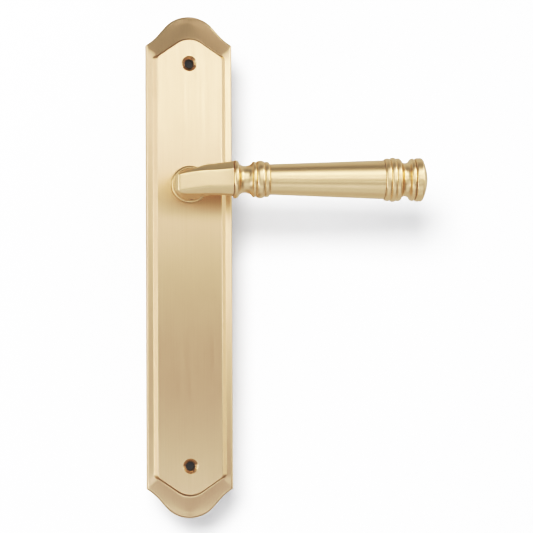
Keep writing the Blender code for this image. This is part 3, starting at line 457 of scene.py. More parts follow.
def panel_quarter():
    """The raised panel's outline, with one point for each of the plate's."""
    turn = math.pi / 2 - PANEL_GABLE_ANGLE
    tangent = PANEL_CORNER_RADIUS * math.tan(turn / 2)
    centre_x = PANEL_HALF_WIDTH - PANEL_CORNER_RADIUS
    centre_inset = PANEL_CORNER_INSET + tangent
    outline = [(PANEL_HALF_WIDTH, SIDE_POINTS_START)]
    outline += arc((centre_x, centre_inset), PANEL_CORNER_RADIUS, 0.0, -turn, SIDE_POINTS - 1)
    start = Vector(outline[-1])
    apex_x = PANEL_APEX_RADIUS * math.sin(PANEL_GABLE_ANGLE)
    gable_run = PANEL_HALF_WIDTH - apex_x
    apex_inset = PANEL_CORNER_INSET - gable_run * math.tan(PANEL_GABLE_ANGLE)
    for i in range(1, SHOULDER_STEPS + 1):
        outline.append(tuple(start.lerp(Vector((apex_x, apex_inset)), i / (SHOULDER_STEPS + 1))))
    centre_inset = apex_inset + PANEL_APEX_RADIUS * math.cos(PANEL_GABLE_ANGLE)
    return outline + crown(PANEL_APEX_RADIUS, PANEL_GABLE_ANGLE, centre_inset)


def whole_ring(quarter):
    """Four quarters joined into one ring, as (x, z), running from the right side over the top."""
    top_right = [(x, PLATE_TOP_Z - inset) for x, inset in quarter]
    bottom_right = [(x, PLATE_BOTTOM_Z + inset) for x, inset in quarter]
    top_left = [(-x, z) for x, z in top_right[-2::-1]]
    bottom_left = [(-x, z) for x, z in bottom_right]
    return top_right + top_left + bottom_left + bottom_right[-2::-1]


def border_height(z):
    """Height of the border's inner edge: level along the sides and falling towards the apexes."""
    inset = min(PLATE_TOP_Z - z, z - PLATE_BOTTOM_Z)
    bend = END_BEND_START - END_BEND_STOP
    slope = math.tan(END_FALL_ANGLE)
    if inset >= END_BEND_START:
        return BORDER_HEIGHT
    if inset >= END_BEND_STOP:
        return BORDER_HEIGHT - slope * (END_BEND_START - inset) ** 2 / (2 * bend)
    return BORDER_HEIGHT - slope * bend / 2 - slope * (END_BEND_STOP - inset)


def draped(ring, heights):
    """An (x, z) ring with its own height at each point."""
    return [(x, -height, z) for (x, z), height in zip(ring, heights)]


def between(row, other, share):
    return [tuple(Vector(a).lerp(Vector(b), share)) for a, b in zip(row, other)]


def edge_rows(outline, heights, radius):
    """Rows that roll a side wall over into the face at its top."""
    rows = []
    for inwards, down in arc((radius, radius), radius, math.pi, math.pi * 1.5, EDGE_STEPS):
        ring = shifted(outline, -inwards)
        rows.append(draped(ring, [height - down for height in heights]))
    return rows


def plate_rows():
    """Rows from the plate's back over its edge, border and step to the face of its panel."""
    quarter = plate_quarter()
    share = [smooth_share(inset, *STEP_CHANGE_INSETS) for x, inset in quarter]
    shares = share + share[-2::-1] + share + share[-2::-1]
    outline = whole_ring(quarter)
    panel = whole_ring(panel_quarter())
    widening = STEP_WIDTH_AT_SIDE - STEP_WIDTH_AT_END
    foot = offset_ring(panel, [STEP_WIDTH_AT_END + widening * s for s in shares])
    heights = [border_height(z) - BORDER_SIDE_DROP * s for (x, z), s in zip(outline, shares)]
    foot_row = draped(foot, [border_height(z) for x, z in foot])
    panel_row = level(panel, PLATE_HEIGHT)
    panel_inner_row = level(shifted(panel, -PANEL_EDGE_ROUNDING), PLATE_HEIGHT)
    rows = [level(shifted(outline, -BACK_EDGE_ROUNDING), 0.0), level(outline, BACK_EDGE_ROUNDING)]
    rows += edge_rows(outline, heights, EDGE_ROUNDING)
    rows += soft_crease(rows[-1], foot_row, panel_row, STEP_FOOT_REACH)
    rows += soft_crease(foot_row, panel_row, panel_inner_row, STEP_TOP_REACH)
    return rows


def soft_crease(before, crease, after, reach):
    """Rows that round a crease, reaching given shares of the way to the rows on both sides."""
    start = between(crease, before, reach[0])
    end = between(crease, after, reach[1])
    rows = []
    for share in shares(EDGE_STEPS):
        rows.append(between(between(start, crease, share), between(crease, end, share), share))
    return rows


def screw_hole_cutter(z):
    """A through hole, its countersink and a softened rim, as one turned cutter."""
    rim = COUNTERSINK_RADIUS + HOLE_EDGE_ROUNDING
    profile = [
        (0.0, -PAST),
        (SCREW_HOLE_RADIUS, -PAST),
        (SCREW_HOLE_RADIUS, PLATE_HEIGHT - COUNTERSINK_DEPTH),
        (COUNTERSINK_RADIUS - HOLE_EDGE_ROUNDING, PLATE_HEIGHT - HOLE_EDGE_ROUNDING),
        (rim, PLATE_HEIGHT + HOLE_EDGE_ROUNDING / 3),
        (rim, PLATE_HEIGHT + PAST),
        (0.0, PLATE_HEIGHT + PAST),
    ]
    return turned_mesh(profile, (0.0, z), ROUND_STEPS)


def cassette_screw_centres():
    """(x, z) of the two cassette screws."""
    centres = []
    for number in (1, 2):
        low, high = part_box(f"cassette_screw_{number}")
        centres.append(((low.x + high.x) / 2, (low.z + high.z) / 2))
    return centres


def backplate_mesh():
    across = (-POCKET_HALF_WIDTH, POCKET_HALF_WIDTH)
    pocket = rounded_rectangle(across, (POCKET_BOTTOM_Z, POCKET_TOP_Z), POCKET_CORNER_RADIUS)
    through = (SHEET_FRONT_HEIGHT - PAST, PLATE_HEIGHT + PAST)
    cuts = [
        prism_mesh(pocket, (-PAST, SHEET_FRONT_HEIGHT)),
        upright_mesh(COLLAR_SPIGOT_RADIUS + GAP, through, steps=TURNED_STEPS),
    ]
    cuts += [screw_hole_cutter(z) for z in SCREW_HOLE_Z]
    heights = (SHEET_FRONT_HEIGHT - PAST, heights_of("cassette_screw_1")[1] + GAP)
    for centre in cassette_screw_centres():
        cuts.append(upright_mesh(CASE_SCREW_RADIUS + GAP, heights, centre, SCREW_HOLE_STEPS))
    return shaped(skin_mesh(plate_rows()), cuts=cuts)


# Collar and bush


def collar_mesh():
    rounding = COLLAR_EDGE_ROUNDING
    corner = (COLLAR_RADIUS - rounding, COLLAR_HEIGHT - rounding)
    seat = PLATE_HEIGHT + GAP
    inner_edge = (COLLAR_BORE_RADIUS + SMALL_EDGE, COLLAR_HEIGHT - SMALL_EDGE)
    profile = arc(corner, rounding, math.pi / 2, 0.0, CURVE_STEPS)
    profile += [
        (COLLAR_RADIUS, seat),
        (COLLAR_SPIGOT_RADIUS, seat),
        (COLLAR_SPIGOT_RADIUS, SHEET_FRONT_HEIGHT),
        (COLLAR_BORE_RADIUS, SHEET_FRONT_HEIGHT),
    ]
    profile += arc(inner_edge, SMALL_EDGE, math.pi, math.pi / 2, EDGE_STEPS)
    return turned_mesh(profile, closed=True)


def bush_mesh():
    low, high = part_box("lever_bush")
    outer, inner = high.x, BUSH_INNER_RADIUS
    profile = [(outer, -low.y), (outer, -high.y), (inner, -high.y), (inner, -low.y)]
    return turned_mesh(profile, closed=True)


# Lever neck


def mixed(first, second, share):
    """The neck's section at a share of the way between two of its named ones."""
    middle, softening, *halves = NECK_SECTIONS[first]
    next_middle, next_softening, *next_halves = NECK_SECTIONS[second]
    blended = []
    for half, next_half in zip(halves, next_halves):
        blended.append([Vector(a).lerp(Vector(b), share) for a, b in zip(half, next_half)])
    return (
        middle + (next_middle - middle) * share,
        softening + (next_softening - softening) * share,
        *blended,
    )


def soft_section(inner, outer, section):
    """A section with rounded ridges, as (distance from the elbow's pivot, height)."""
    middle, rounding, upper, lower = section
    corners = []
    for half, sign in ((upper, 1), (lower, -1)):
        points = [Vector((outer / MM - depth, middle + sign * away)) for depth, away in half[:3]]
        points += [Vector((inner / MM + depth, middle + sign * away)) for depth, away in half[3:]]
        corners += [point * MM for point in points[::sign]]
    return soft_corners(corners, rounding * MM)


def elbow_line():
    """Points (across, forward) from the pivot to the elbow's outer line, each with its section."""
    reach_x = NECK_INNER_X + NECK_INNER_RADIUS - NECK_OUTER_X
    reach_y = 2 * ARM_HALF_DEPTH + NECK_INNER_RADIUS
    turn_x = reach_x - NECK_CORNER_RADIUS
    turn_y = reach_y - NECK_CORNER_RADIUS
    line = []
    for share in shares(ELBOW_SIDE_STEPS)[:-1]:
        line.append(((reach_x, turn_y * share), mixed("shank_end", "corner", share)))
    corner = arc((turn_x, turn_y), NECK_CORNER_RADIUS, 0.0, math.pi / 2, ELBOW_CORNER_STEPS)
    line += [(point, mixed("corner", "corner", 0.0)) for point in corner]
    for share in shares(ELBOW_FRONT_STEPS)[1:]:
        growth = math.sin(share * math.pi / 2)
        line.append(((turn_x * (1 - share), reach_y), mixed("corner", "arm_start", growth)))
    return line


def neck_rows():
    """Sections from the collar out along the shank, round the elbow and along to the grip."""
    pivot_x = NECK_INNER_X + NECK_INNER_RADIUS
    pivot_y = -GRIP_AXIS_HEIGHT + ARM_HALF_DEPTH + NECK_INNER_RADIUS
    base_y = -(COLLAR_HEIGHT + SEAM)
    foot = FOOT_RADIUS * MM
    rows = []
    for share in shares(SHANK_STEPS)[:-1]:
        y = base_y + (pivot_y - base_y) * share
        inner = pivot_x - foot * (1 - share) - NECK_INNER_X * share
        outer = pivot_x + foot * (1 - share) - NECK_OUTER_X * share
        section = soft_section(inner, outer, mixed("foot", "shank_end", share))
        rows.append([(pivot_x - d, y, z) for d, z in section])
    for (across, forward), section in elbow_line():
        outer = math.hypot(across, forward)
        row = []
        for d, z in soft_section(NECK_INNER_RADIUS, outer, section):
            row.append((pivot_x - d * across / outer, pivot_y - d * forward / outer, z))
        rows.append(row)
    middle = NECK_INNER_RADIUS + ARM_HALF_DEPTH
    for share in shares(ARM_STEPS)[1:]:
        x = pivot_x + (NECK_END_X - pivot_x) * share
        depth = ARM_HALF_DEPTH + (ARM_END_HALF_DEPTH - ARM_HALF_DEPTH) * share**2
        section = soft_section(middle - depth, middle + depth, mixed("arm_start", "arm_end", share))
        rows.append([(x, pivot_y - d, z) for d, z in section])
    return rows


def neck_mesh():
    groove_low, groove_high = CLIP_GROOVE_HEIGHTS
    inside_neck = COLLAR_HEIGHT + JOURNAL_IN_NECK
    journal = [
        (0.0, inside_neck),
        (JOURNAL_RADIUS, inside_neck),
        (JOURNAL_RADIUS, groove_high),
        (CLIP_GROOVE_RADIUS, groove_high),
        (CLIP_GROOVE_RADIUS, groove_low),
        (JOURNAL_RADIUS, groove_low),
        (JOURNAL_RADIUS, JOURNAL_END_HEIGHT),
        (0.0, JOURNAL_END_HEIGHT),
    ]
    half = SPINDLE_SIDE / 2 + SOCKET_CLEARANCE
    socket_heights = (JOURNAL_END_HEIGHT - PAST, SPINDLE_FRONT_HEIGHT + GAP)
    rod_hole = [(x, -GRIP_AXIS_HEIGHT, 0) for x in (ROD_HOLE_START_X, NECK_END_X + PAST)]
    grub_hole = [(0, -GRUB_SCREW_HEIGHT, z) for z in (0, -FOOT_RADIUS * MM - PAST)]
    cuts = [
        box_mesh((-half, half), socket_heights, (-half, half)),
        cylinder_mesh(BORE_RADIUS, *rod_hole),
        cylinder_mesh(GRUB_HOLE_RADIUS, *grub_hole),
    ]
    joins = [turned_mesh(journal, steps=ROUND_STEPS)]
    return shaped(skin_mesh(neck_rows()), joins, cuts)


# Grip


def quarter_turn(start, end, leaves_upright):
    """A quarter ellipse of a profile, between two (x, radius) points, without its first point."""
    points = []
    for share in shares(CURVE_STEPS)[1:]:
        fast = math.sin(math.pi / 2 * share)
        slow = 1 - math.cos(math.pi / 2 * share)
        share_x, share_r = (slow, fast) if leaves_upright else (fast, slow)
        share_x += (share - share_x) * BEAD_LEAN
        x = start[0] + (end[0] - start[0]) * share_x
        points.append((x, start[1] + (end[1] - start[1]) * share_r))
    return points


def half_turn(start, middle, end):
    """A bead, or a hollow where the middle is lower, without its first point."""
    return quarter_turn(start, middle, True) + quarter_turn(middle, end, False)


def millimetres(point):
    return (point[0] * MM, point[1] * MM)


def half_turns(start, curves):
    """Beads and hollows one after another, from a starting (x, radius)."""
    outline = [start]
    for middle, end in curves:
        outline += half_turn(outline[-1], millimetres(middle), millimetres(end))
    return outline


def inner_ferrule_outline():
    """A bead, a deep cove and three beads, from the neck to the grip."""
    start = (side("inner_ferrule", 0, "x"), INNER_FERRULE_START * MM)
    return half_turns(start, INNER_FERRULE_CURVES)


def barrel_outline():
    """A plain taper with a broken edge at both ends."""
    start = side("inner_ferrule", 1, "x") + SEAM
    end = side("outer_ferrule", 0, "x") - SEAM
    end_radius = side("grip_barrel", 1, "z")
    return [
        (start, BARREL_START_RADIUS - SMALL_EDGE),
        (start + SMALL_EDGE, BARREL_START_RADIUS),
        (end - SMALL_EDGE, end_radius),
        (end, end_radius - SMALL_EDGE),
    ]


def outer_ferrule_outline():
    """Three beads, a cove and a bead, from the grip to the end cap."""
    start = (side("outer_ferrule", 0, "x"), OUTER_FERRULE_START * MM)
    cove_start = millimetres(OUTER_FERRULE_COVE_START)
    beads = half_turns(start, OUTER_FERRULE_BEADS)
    return beads + half_turns(cove_start, OUTER_FERRULE_COVE)


def end_cap_outline():
    """A disc with a round edge and a low dome."""
    tip = side("end_cap", 1, "x")
    start = (side("outer_ferrule", 1, "x") + SEAM, CAP_START_RADIUS)
    rim_start, rim_end = [(x, CAP_RADIUS) for x in CAP_RIM_X]
    outline = [start] + quarter_turn(start, rim_start, True) + [rim_end]
    outline += quarter_turn(rim_end, (DOME_START_X, DOME_RADIUS), False)
    for share in shares(DOME_STEPS)[-2::-1]:
        outline.append((tip - (tip - DOME_START_X) * share**2, DOME_RADIUS * share))
    return outline


def grip_mesh(outline, blind_depth=None):
    """A turned piece of the grip, bored through or, for the cap, bored from its inner end."""
    start_x = outline[0][0]
    profile = [(radius, x) for x, radius in reversed(outline)]
    bore_end = outline[-1][0] if blind_depth is None else start_x + blind_depth
    profile += [(BORE_RADIUS, start_x), (BORE_RADIUS, bore_end)]
    if blind_depth is not None:
        profile.append((0.0, bore_end))
    mesh = turned_mesh(profile, closed=blind_depth is None, along_grip=True)
    mesh.transform(Matrix.Translation((0.0, -GRIP_AXIS_HEIGHT, 0.0)))
    return mesh


# Spindle, cassette and springs


def spindle_mesh():
    """A square bar with broken corners and ends."""
    low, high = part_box("spindle")
    rows = []
    for y, inset in (
        (low.y, SPINDLE_CHAMFER),
        (low.y + SPINDLE_CHAMFER, 0.0),
        (high.y - SPINDLE_CHAMFER, 0.0),
        (high.y, SPINDLE_CHAMFER),
    ):
        half = SPINDLE_SIDE / 2 - inset
        square = [(-half, -half), (half, -half), (half, half), (-half, half)]
        rows.append([(x, y, z) for x, z in soft_corners(square, SPINDLE_CHAMFER)])
    return skin_mesh(rows)


def grub_screw_mesh():
    low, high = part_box("grub_screw")
    y = -GRUB_SCREW_HEIGHT
    body = cylinder_mesh(high.x, (0, y, high.z), (0, y, low.z))
    key_start = (0, y, low.z + GRUB_KEY_DEPTH)
    key = cylinder_mesh(GRUB_KEY_RADIUS, key_start, (0, y, low.z - PAST), KEY_SIDES)
    return shaped(body, cuts=[key])


def case_outline(shrink):
    half_x = side("cassette_case", 1, "x") - shrink
    half_z = side("cassette_case", 1, "z") - shrink
    radius = max(CASE_CORNER_RADIUS - shrink, CASE_INSIDE_CORNER_RADIUS)
    return rounded_rectangle((-half_x, half_x), (-half_z, half_z), radius)


def case_block(places):
    """A block of the case's outline, through places of (height, how far its edge is drawn in)."""
    return skin_mesh([level(case_outline(shrink), height) for height, shrink in places])


def post_angle():
    """The angle from a lug to the stop post that it rests beside, seen from the axis."""
    return 2 * math.asin((2 * LUG_HALF_WIDTH + GAP) / 2 / LUG_RADIUS)


def case_mesh():
    rim, front = heights_of("cassette_case")
    inside = front - CASE_FRONT_THICKNESS
    middle = (inside + front) / 2
    edge = CASE_EDGE_ROUNDING
    block = case_block(((rim, 0.0), (front - edge, 0.0), (front, edge)))
    hollow = prism_mesh(case_outline(CASE_WALL), (rim - PAST, inside))
    hole = upright_mesh(CASE_HOLE_RADIUS, (inside - PAST, front + PAST), steps=HUB_STEPS)
    body = shaped(block, cuts=[hollow, hole])
    joins = []
    cuts = []
    post = (LUG_RADIUS * math.cos(post_angle()), LUG_RADIUS * math.sin(post_angle()))
    rib_end = side("cassette_case", 1, "z") - CASE_WALL / 2
    for centre in cassette_screw_centres():
        sign = math.copysign(1.0, centre[0])
        rib_x = (sign * (CASE_RIB_X - CASE_WALL / 2), sign * (CASE_RIB_X + CASE_WALL / 2))
        rib_z = (-sign * CASE_RIB_START, -sign * rib_end)
        post_centre = (sign * post[0], sign * post[1])
        joins.append(box_mesh(rib_x, (rim, middle), rib_z))
        joins.append(upright_mesh(PILLAR_RADIUS, (middle, rim), centre))
        joins.append(upright_mesh(LUG_HALF_WIDTH, (middle, rim + GAP), post_centre))
        cuts.append(upright_mesh(CASE_SCREW_RADIUS + GAP, (rim - PAST, front + PAST), centre))
    return shaped(body, joins, cuts)


def cover_mesh():
    low, high = heights_of("cassette_cover")
    places = ((low, SMALL_EDGE), (low + SMALL_EDGE, 0.0), (high, 0.0))
    past = COVER_SINK_PAST
    cone = [
        (0.0, low - past),
        (CASE_SCREW_HEAD_RADIUS + GAP + past, low - past),
        (CASE_SCREW_RADIUS + GAP - past, high + past),
        (0.0, high + past),
    ]
    cuts = [upright_mesh(COVER_HOLE_RADIUS, (low - PAST, high + PAST), steps=HUB_STEPS)]
    cuts += [turned_mesh(cone, centre, SMALL_STEPS) for centre in cassette_screw_centres()]
    return shaped(case_block(places), cuts=cuts)


def cassette_screw_mesh(number):
    """A slotted countersunk screw, with its head in the cassette's cover."""
    low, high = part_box(f"cassette_screw_{number}")
    head, end = -high.y, -low.y
    centre = cassette_screw_centres()[number - 1]
    neck = head + CASE_SCREW_HEAD_RADIUS - CASE_SCREW_RADIUS
    profile = [
        (0.0, end),
        (CASE_SCREW_TIP[0], end),
        (CASE_SCREW_RADIUS, end - CASE_SCREW_TIP[1]),
        (CASE_SCREW_RADIUS, neck),
        (CASE_SCREW_HEAD_RADIUS, head + SMALL_EDGE / 2),
        (CASE_SCREW_HEAD_RADIUS - SMALL_EDGE / 2, head),
        (0.0, head),
    ]
    body = turned_mesh(profile, centre, SMALL_STEPS)
    x_range, z_range = [(c - half, c + half) for c, half in zip(centre, SCREW_SLOT_HALF_SIZE)]
    slot = box_mesh(x_range, (head - GAP, head + SCREW_SLOT_DEPTH), z_range)
    return shaped(body, cuts=[slot])


def rotor_mesh():
    """A hub on the spindle with two lugs that push the springs and two that meet the stop posts."""
    low, high = heights_of("cassette_rotor")
    hub = upright_mesh(ROTOR_HUB_RADIUS, (low, high), steps=HUB_STEPS)
    bars = []
    right_angle = math.pi / 2
    round_end = arc((LUG_RADIUS, 0.0), LUG_HALF_WIDTH, -right_angle, right_angle, LUG_END_STEPS)
    outline = round_end + [(-x, -z) for x, z in round_end]
    for angle in (0.0, 2 * post_angle() + LEVER_TRAVEL):
        across, up = math.cos(angle), math.sin(angle)
        turned = [(x * across - z * up, x * up + z * across) for x, z in outline]
        bars.append(prism_mesh(turned, (low, high)))
    half = SPINDLE_SIDE / 2 + SOCKET_CLEARANCE
    square = box_mesh((-half, half), (low - PAST, high + PAST), (-half, half))
    return shaped(hub, bars, [square])


def plunger_mesh(node):
    """A square head with softened edges and a round stem that guides the spring."""
    low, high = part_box(node)
    points_up = low.z > 0
    head_z = (low.z, low.z + PLUNGER_HEAD) if points_up else (high.z - PLUNGER_HEAD, high.z)
    stem_end = high.z if points_up else low.z
    middle_x = math.copysign(PLUNGER_STEM_X, low.x)
    middle_y = (low.y + high.y) / 2
    corners = [(low.x, head_z[0]), (high.x, head_z[0]), (high.x, head_z[1]), (low.x, head_z[1])]
    outline = soft_corners(corners, SMALL_EDGE * 2)
    head = prism_mesh(outline, heights_of(node))
    start = (middle_x, middle_y, sum(head_z) / 2)
    stem = cylinder_mesh(PLUNGER_STEM_RADIUS, start, (middle_x, middle_y, stem_end))
    return shaped(head, [stem])


def spring_mesh(node):
    """A round-wire compression spring, with one closed turn at each end."""
    low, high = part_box(node)
    centre_x = (low.x + high.x) / 2
    centre_y = (low.y + high.y) / 2
    wire = SPRING_WIRE_RADIUS
    start, end = low.z + wire, high.z - wire
    active_rise = (end - start - 2 * SPRING_CLOSED_RISE) / SPRING_ACTIVE_TURNS
    wire_ring = circle((0.0, 0.0), 1.0, SPRING_WIRE_STEPS)
    upwards = Vector((0, 0, 1))
    rows = []
    for i in range((SPRING_ACTIVE_TURNS + 2) * SPRING_STEPS_PER_TURN + 1):
        turns = i / SPRING_STEPS_PER_TURN
        active = min(max(turns - 1, 0.0), SPRING_ACTIVE_TURNS)
        z = start + SPRING_CLOSED_RISE * (turns - active) + active_rise * active
        outwards = Vector((math.cos(math.tau * turns), math.sin(math.tau * turns), 0.0))
        centre = Vector((centre_x, centre_y, z)) + outwards * SPRING_RADIUS
        rows.append([centre + (outwards * out + upwards * up) * wire for out, up in wire_ring])
    return skin_mesh(rows)


# Materials


WORN_WIDTH = 0.35 * MM  # of the polished line along an edge
WORN_COSINES = (0.995, 0.90)  # of a rounded normal's lean, where an edge's wear starts and is full
WORN_LIGHTENING = 1.25
BAND_SHARE = 0.3  # frequency of the broad bands in brushed brass beside that of its fine grain
BAND_ROUGHNESS = 0.05
EDGE_POLISH = -0.06
BRASS_CLOUDS = (25.0,) * 3
METAL_CLOUDS = (120.0,) * 3
CLOUD_BRIGHTNESS = (0.35, 1.0)
STREAK_DARKNESS = (0.0, 0.22)


class Finish:
    """A node material with a Principled shader and a few helpers to fill it."""

    def __init__(self, name, **settings):
        self.material = bpy.data.materials.new(name)
        self.material.use_nodes = True
        self.tree = self.material.node_tree
        self.shader = self.tree.nodes["Principled BSDF"]
        self.shade(**settings)

    def fill(self, socket, value):
        """Sets a socket's fixed value, or feeds it from another node's output."""
        if isinstance(value, bpy.types.NodeSocket):
            self.tree.links.new(value, socket)
        else:
            socket.default_value = value

    def shade(self, **settings):
        """Fills the shader's inputs, each named with underscores for its spaces."""
        for name, value in settings.items():
            self.fill(self.shader.inputs[name.replace("_", " ")], value)

    def node(self, kind, inputs, **settings):
        made = self.tree.nodes.new(kind)
        for key, value in settings.items():
            setattr(made, key, value)
        for name, value in inputs.items():
            self.fill(made.inputs[name], value)
        return made

    def noise(self, scale, detail=2.0, roughness=0.5):
        """Noise stretched by its scales along the three axes, in features for each metre."""
        position = self.node("ShaderNodeTexCoord", {}).outputs["Object"]
        mapping = self.node("ShaderNodeMapping", {"Vector": position, "Scale": scale})
        inputs = {"Scale": 1.0, "Detail": detail, "Roughness": roughness}
        noise = self.node("ShaderNodeTexNoise", inputs)
        self.fill(noise.inputs["Vector"], mapping.outputs["Vector"])
        return noise.outputs["Fac"]

    def spread(self, value, low, high, from_low=0.3, from_high=0.7):
        """The value stretched from its usual range to another one."""
        inputs = {"Value": value, "To Min": low, "To Max": high}
        inputs.update({"From Min": from_low, "From Max": from_high})
        return self.node("ShaderNodeMapRange", inputs).outputs["Result"]

    def add(self, first, second):
        return self.node("ShaderNodeMath", {0: first, 1: second}, operation="ADD").outputs["Value"]

    def mix(self, share, first, second):
        """A colour between two, each of which is a fixed colour or another node's colour."""
        node = self.node("ShaderNodeMix", {"Factor": share}, data_type="RGBA")
        for name, colour in (("A", first), ("B", second)):
            socket = next(s for s in node.inputs if s.name == name and s.type == "RGBA")
            self.fill(socket, (*colour, 1.0) if isinstance(colour, tuple) else colour)
        return next(s for s in node.outputs if s.type == "RGBA")

    def edges(self):
        """Nought on open metal, rising to one along edges, from a normal rounded over them."""
        flat = self.node("ShaderNodeNewGeometry", {}).outputs["Normal"]
        rounded = self.node("ShaderNodeBevel", {"Radius": WORN_WIDTH}, samples=6).outputs["Normal"]
        dot = self.node("ShaderNodeVectorMath", {0: flat, 1: rounded}, operation="DOT_PRODUCT")
        return self.spread(dot.outputs["Value"], 0.0, 1.0, *WORN_COSINES)

    def bump(self, height, distance):
        node = self.node("ShaderNodeBump", {"Height": height, "Distance": distance})
        self.shade(Normal=node.outputs["Normal"])


def brass(name, grain, grain_depth, roughness, colour, banding, tangent_axis=None, anisotropic=0.0):
    """Satin brass: brushed grain, cloudy tone and edges polished by handling."""
    finish = Finish(name, Metallic=1.0, Anisotropic=anisotropic)
    deep, bright, worn = colour
    streaks = finish.noise(grain, detail=3.0, roughness=0.65)
    bands = finish.noise(tuple(scale * BAND_SHARE for scale in grain))
    clouds = finish.noise(BRASS_CLOUDS)
    body = finish.mix(finish.spread(clouds, *CLOUD_BRIGHTNESS), deep, bright)
    streaked = finish.mix(finish.spread(streaks, *STREAK_DARKNESS), body, deep)
    banded = finish.mix(finish.spread(bands, 0.0, banding), streaked, deep)
    edges = finish.edges()
    uneven = BAND_ROUGHNESS * banding
    rough = finish.add(finish.spread(streaks, *roughness), finish.spread(bands, -uneven, uneven))
    polished = finish.add(rough, finish.spread(edges, 0.0, EDGE_POLISH, 0.0, 1.0))
    finish.shade(Base_Color=finish.mix(edges, banded, worn), Roughness=polished)
    finish.bump(streaks, grain_depth)
    if tangent_axis:
        tangent = finish.node("ShaderNodeTangent", {}, direction_type="RADIAL", axis=tangent_axis)
        finish.shade(Tangent=tangent.outputs["Tangent"])
    return finish.material


def plain_metal(name, dark, light, roughness, grain, depth):
    """Plated or cast metal: mottled tone, uneven roughness and brighter edges."""
    finish = Finish(name, Metallic=1.0)
    speckle = finish.noise(grain, detail=4.0, roughness=0.6)
    clouds = finish.noise(METAL_CLOUDS)
    body = finish.mix(finish.spread(clouds, 0.0, 1.0), dark, light)
    worn = tuple(min(1.0, part * WORN_LIGHTENING) for part in light)
    rough = finish.spread(speckle, *roughness)
    finish.shade(Base_Color=finish.mix(finish.edges(), body, worn), Roughness=rough)
    finish.bump(speckle, depth)
    return finish.material


def nylon_material():
    """Natural nylon: off-white, slightly cloudy and faintly grained."""
    finish = Finish("natural_nylon", IOR=1.53)
    clouds = finish.spread(finish.noise((180.0,) * 3, detail=3.0), 0.0, 1.0)
    rough = finish.spread(finish.noise((900.0,) * 3), 0.42, 0.56)
    finish.shade(Base_Color=finish.mix(clouds, *NYLON_COLOURS), Roughness=rough)
    finish.bump(finish.noise((2500.0,) * 3), 0.01 * MM)
    return finish.material


NYLON_COLOURS = ((0.72, 0.69, 0.58), (0.82, 0.80, 0.71))

# Each brass as its deepest, its brightest and its worn colour.
BRASS_COLOURS = ((0.81, 0.655, 0.485), (0.87, 0.71, 0.53), (0.93, 0.80, 0.64))
LEVER_COLOURS = ((0.81, 0.66, 0.47), (0.87, 0.715, 0.51), (0.93, 0.80, 0.62))
BRASS_GRAIN = (5200.0, 5200.0, 55.0)
LEVER_GRAIN = (260.0, 2600.0, 2600.0)

# Each metal's dark and light colour, its range of roughness, and its grain's scales and depth.
METALS = {
    "cast_zinc": ((0.36, 0.37, 0.39), (0.50, 0.51, 0.53), (0.45, 0.62), (2200.0,) * 3, 0.02 * MM),
    "zinc_plated_steel": (
        (0.50, 0.52, 0.54),
        (0.63, 0.64, 0.65),
        (0.26, 0.42),
        (1500.0, 300.0, 1500.0),
        0.004 * MM,
    ),
    "spring_steel": (
        (0.24, 0.25, 0.27),
        (0.36, 0.37, 0.39),
        (0.22, 0.36),
        (1800.0,) * 3,
        0.003 * MM,
    ),
}

MATERIALS = {
    "plate_brass": brass(
        "brushed_brass",
        BRASS_GRAIN,
        0.0045 * MM,
        (0.3, 0.4),
        BRASS_COLOURS,
        0.45,
        tangent_axis="Z",
        anisotropic=0.75,
    ),
    "lever_brass": brass(
        "satin_brass", LEVER_GRAIN, 0.0006 * MM, (0.31, 0.37), LEVER_COLOURS, 0.4
    ),
    "nylon": nylon_material(),
}
MATERIALS.update({name: plain_metal(name, *values) for name, values in METALS.items()})


# Pieces


LEVER_PIECES = []  # which some of the lights reach alone


def add_piece(node, mesh, body, slot):
    """A finer piece that stands for one CAD node."""
    mesh.name = f"{node}_fine"
    piece = linked(mesh.name, mesh)
    mesh.materials.clear()
    mesh.materials.append(MATERIALS[slot])
    mesh.shade_smooth()
    mesh.set_sharp_from_angle(angle=SMOOTH_BELOW)
    weighted = piece.modifiers.new("flat_faces_first", "WEIGHTED_NORMAL")
    weighted.keep_sharp = True
    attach(piece, body)
    if body == "lever":
        LEVER_PIECES.append(piece)
    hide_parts(node)
    return piece


def keep_node(node, slot):
    """A CAD node whose shape is right keeps it, and takes the finished material."""
    obj = frame["nodes"][node]
    for place in obj.material_slots:
        place.material = MATERIALS[slot]


def make_plate_body():
    for node, mesh, slot in (
        ("backplate", backplate_mesh(), "plate_brass"),
        ("neck_collar", collar_mesh(), "lever_brass"),
        ("lever_bush", bush_mesh(), "nylon"),
        ("cassette_case", case_mesh(), "cast_zinc"),
        ("cassette_cover", cover_mesh(), "zinc_plated_steel"),
        ("cassette_screw_1", cassette_screw_mesh(1), "zinc_plated_steel"),
        ("cassette_screw_2", cassette_screw_mesh(2), "zinc_plated_steel"),
    ):
        add_piece(node, mesh, "plate", slot)


def make_lever_body():
    for node, mesh, slot in (
        ("lever_neck", neck_mesh(), "lever_brass"),
        ("inner_ferrule", grip_mesh(inner_ferrule_outline()), "lever_brass"),
        ("grip_barrel", grip_mesh(barrel_outline()), "lever_brass"),
        ("outer_ferrule", grip_mesh(outer_ferrule_outline()), "lever_brass"),
        ("end_cap", grip_mesh(end_cap_outline(), CAP_BORE_DEPTH), "lever_brass"),
        ("spindle", spindle_mesh(), "zinc_plated_steel"),
        ("grub_screw", grub_screw_mesh(), "zinc_plated_steel"),
        ("cassette_rotor", rotor_mesh(), "zinc_plated_steel"),
    ):
        add_piece(node, mesh, "lever", slot)
    keep_node("retaining_ring", "spring_steel")
    keep_node("tie_rod", "zinc_plated_steel")


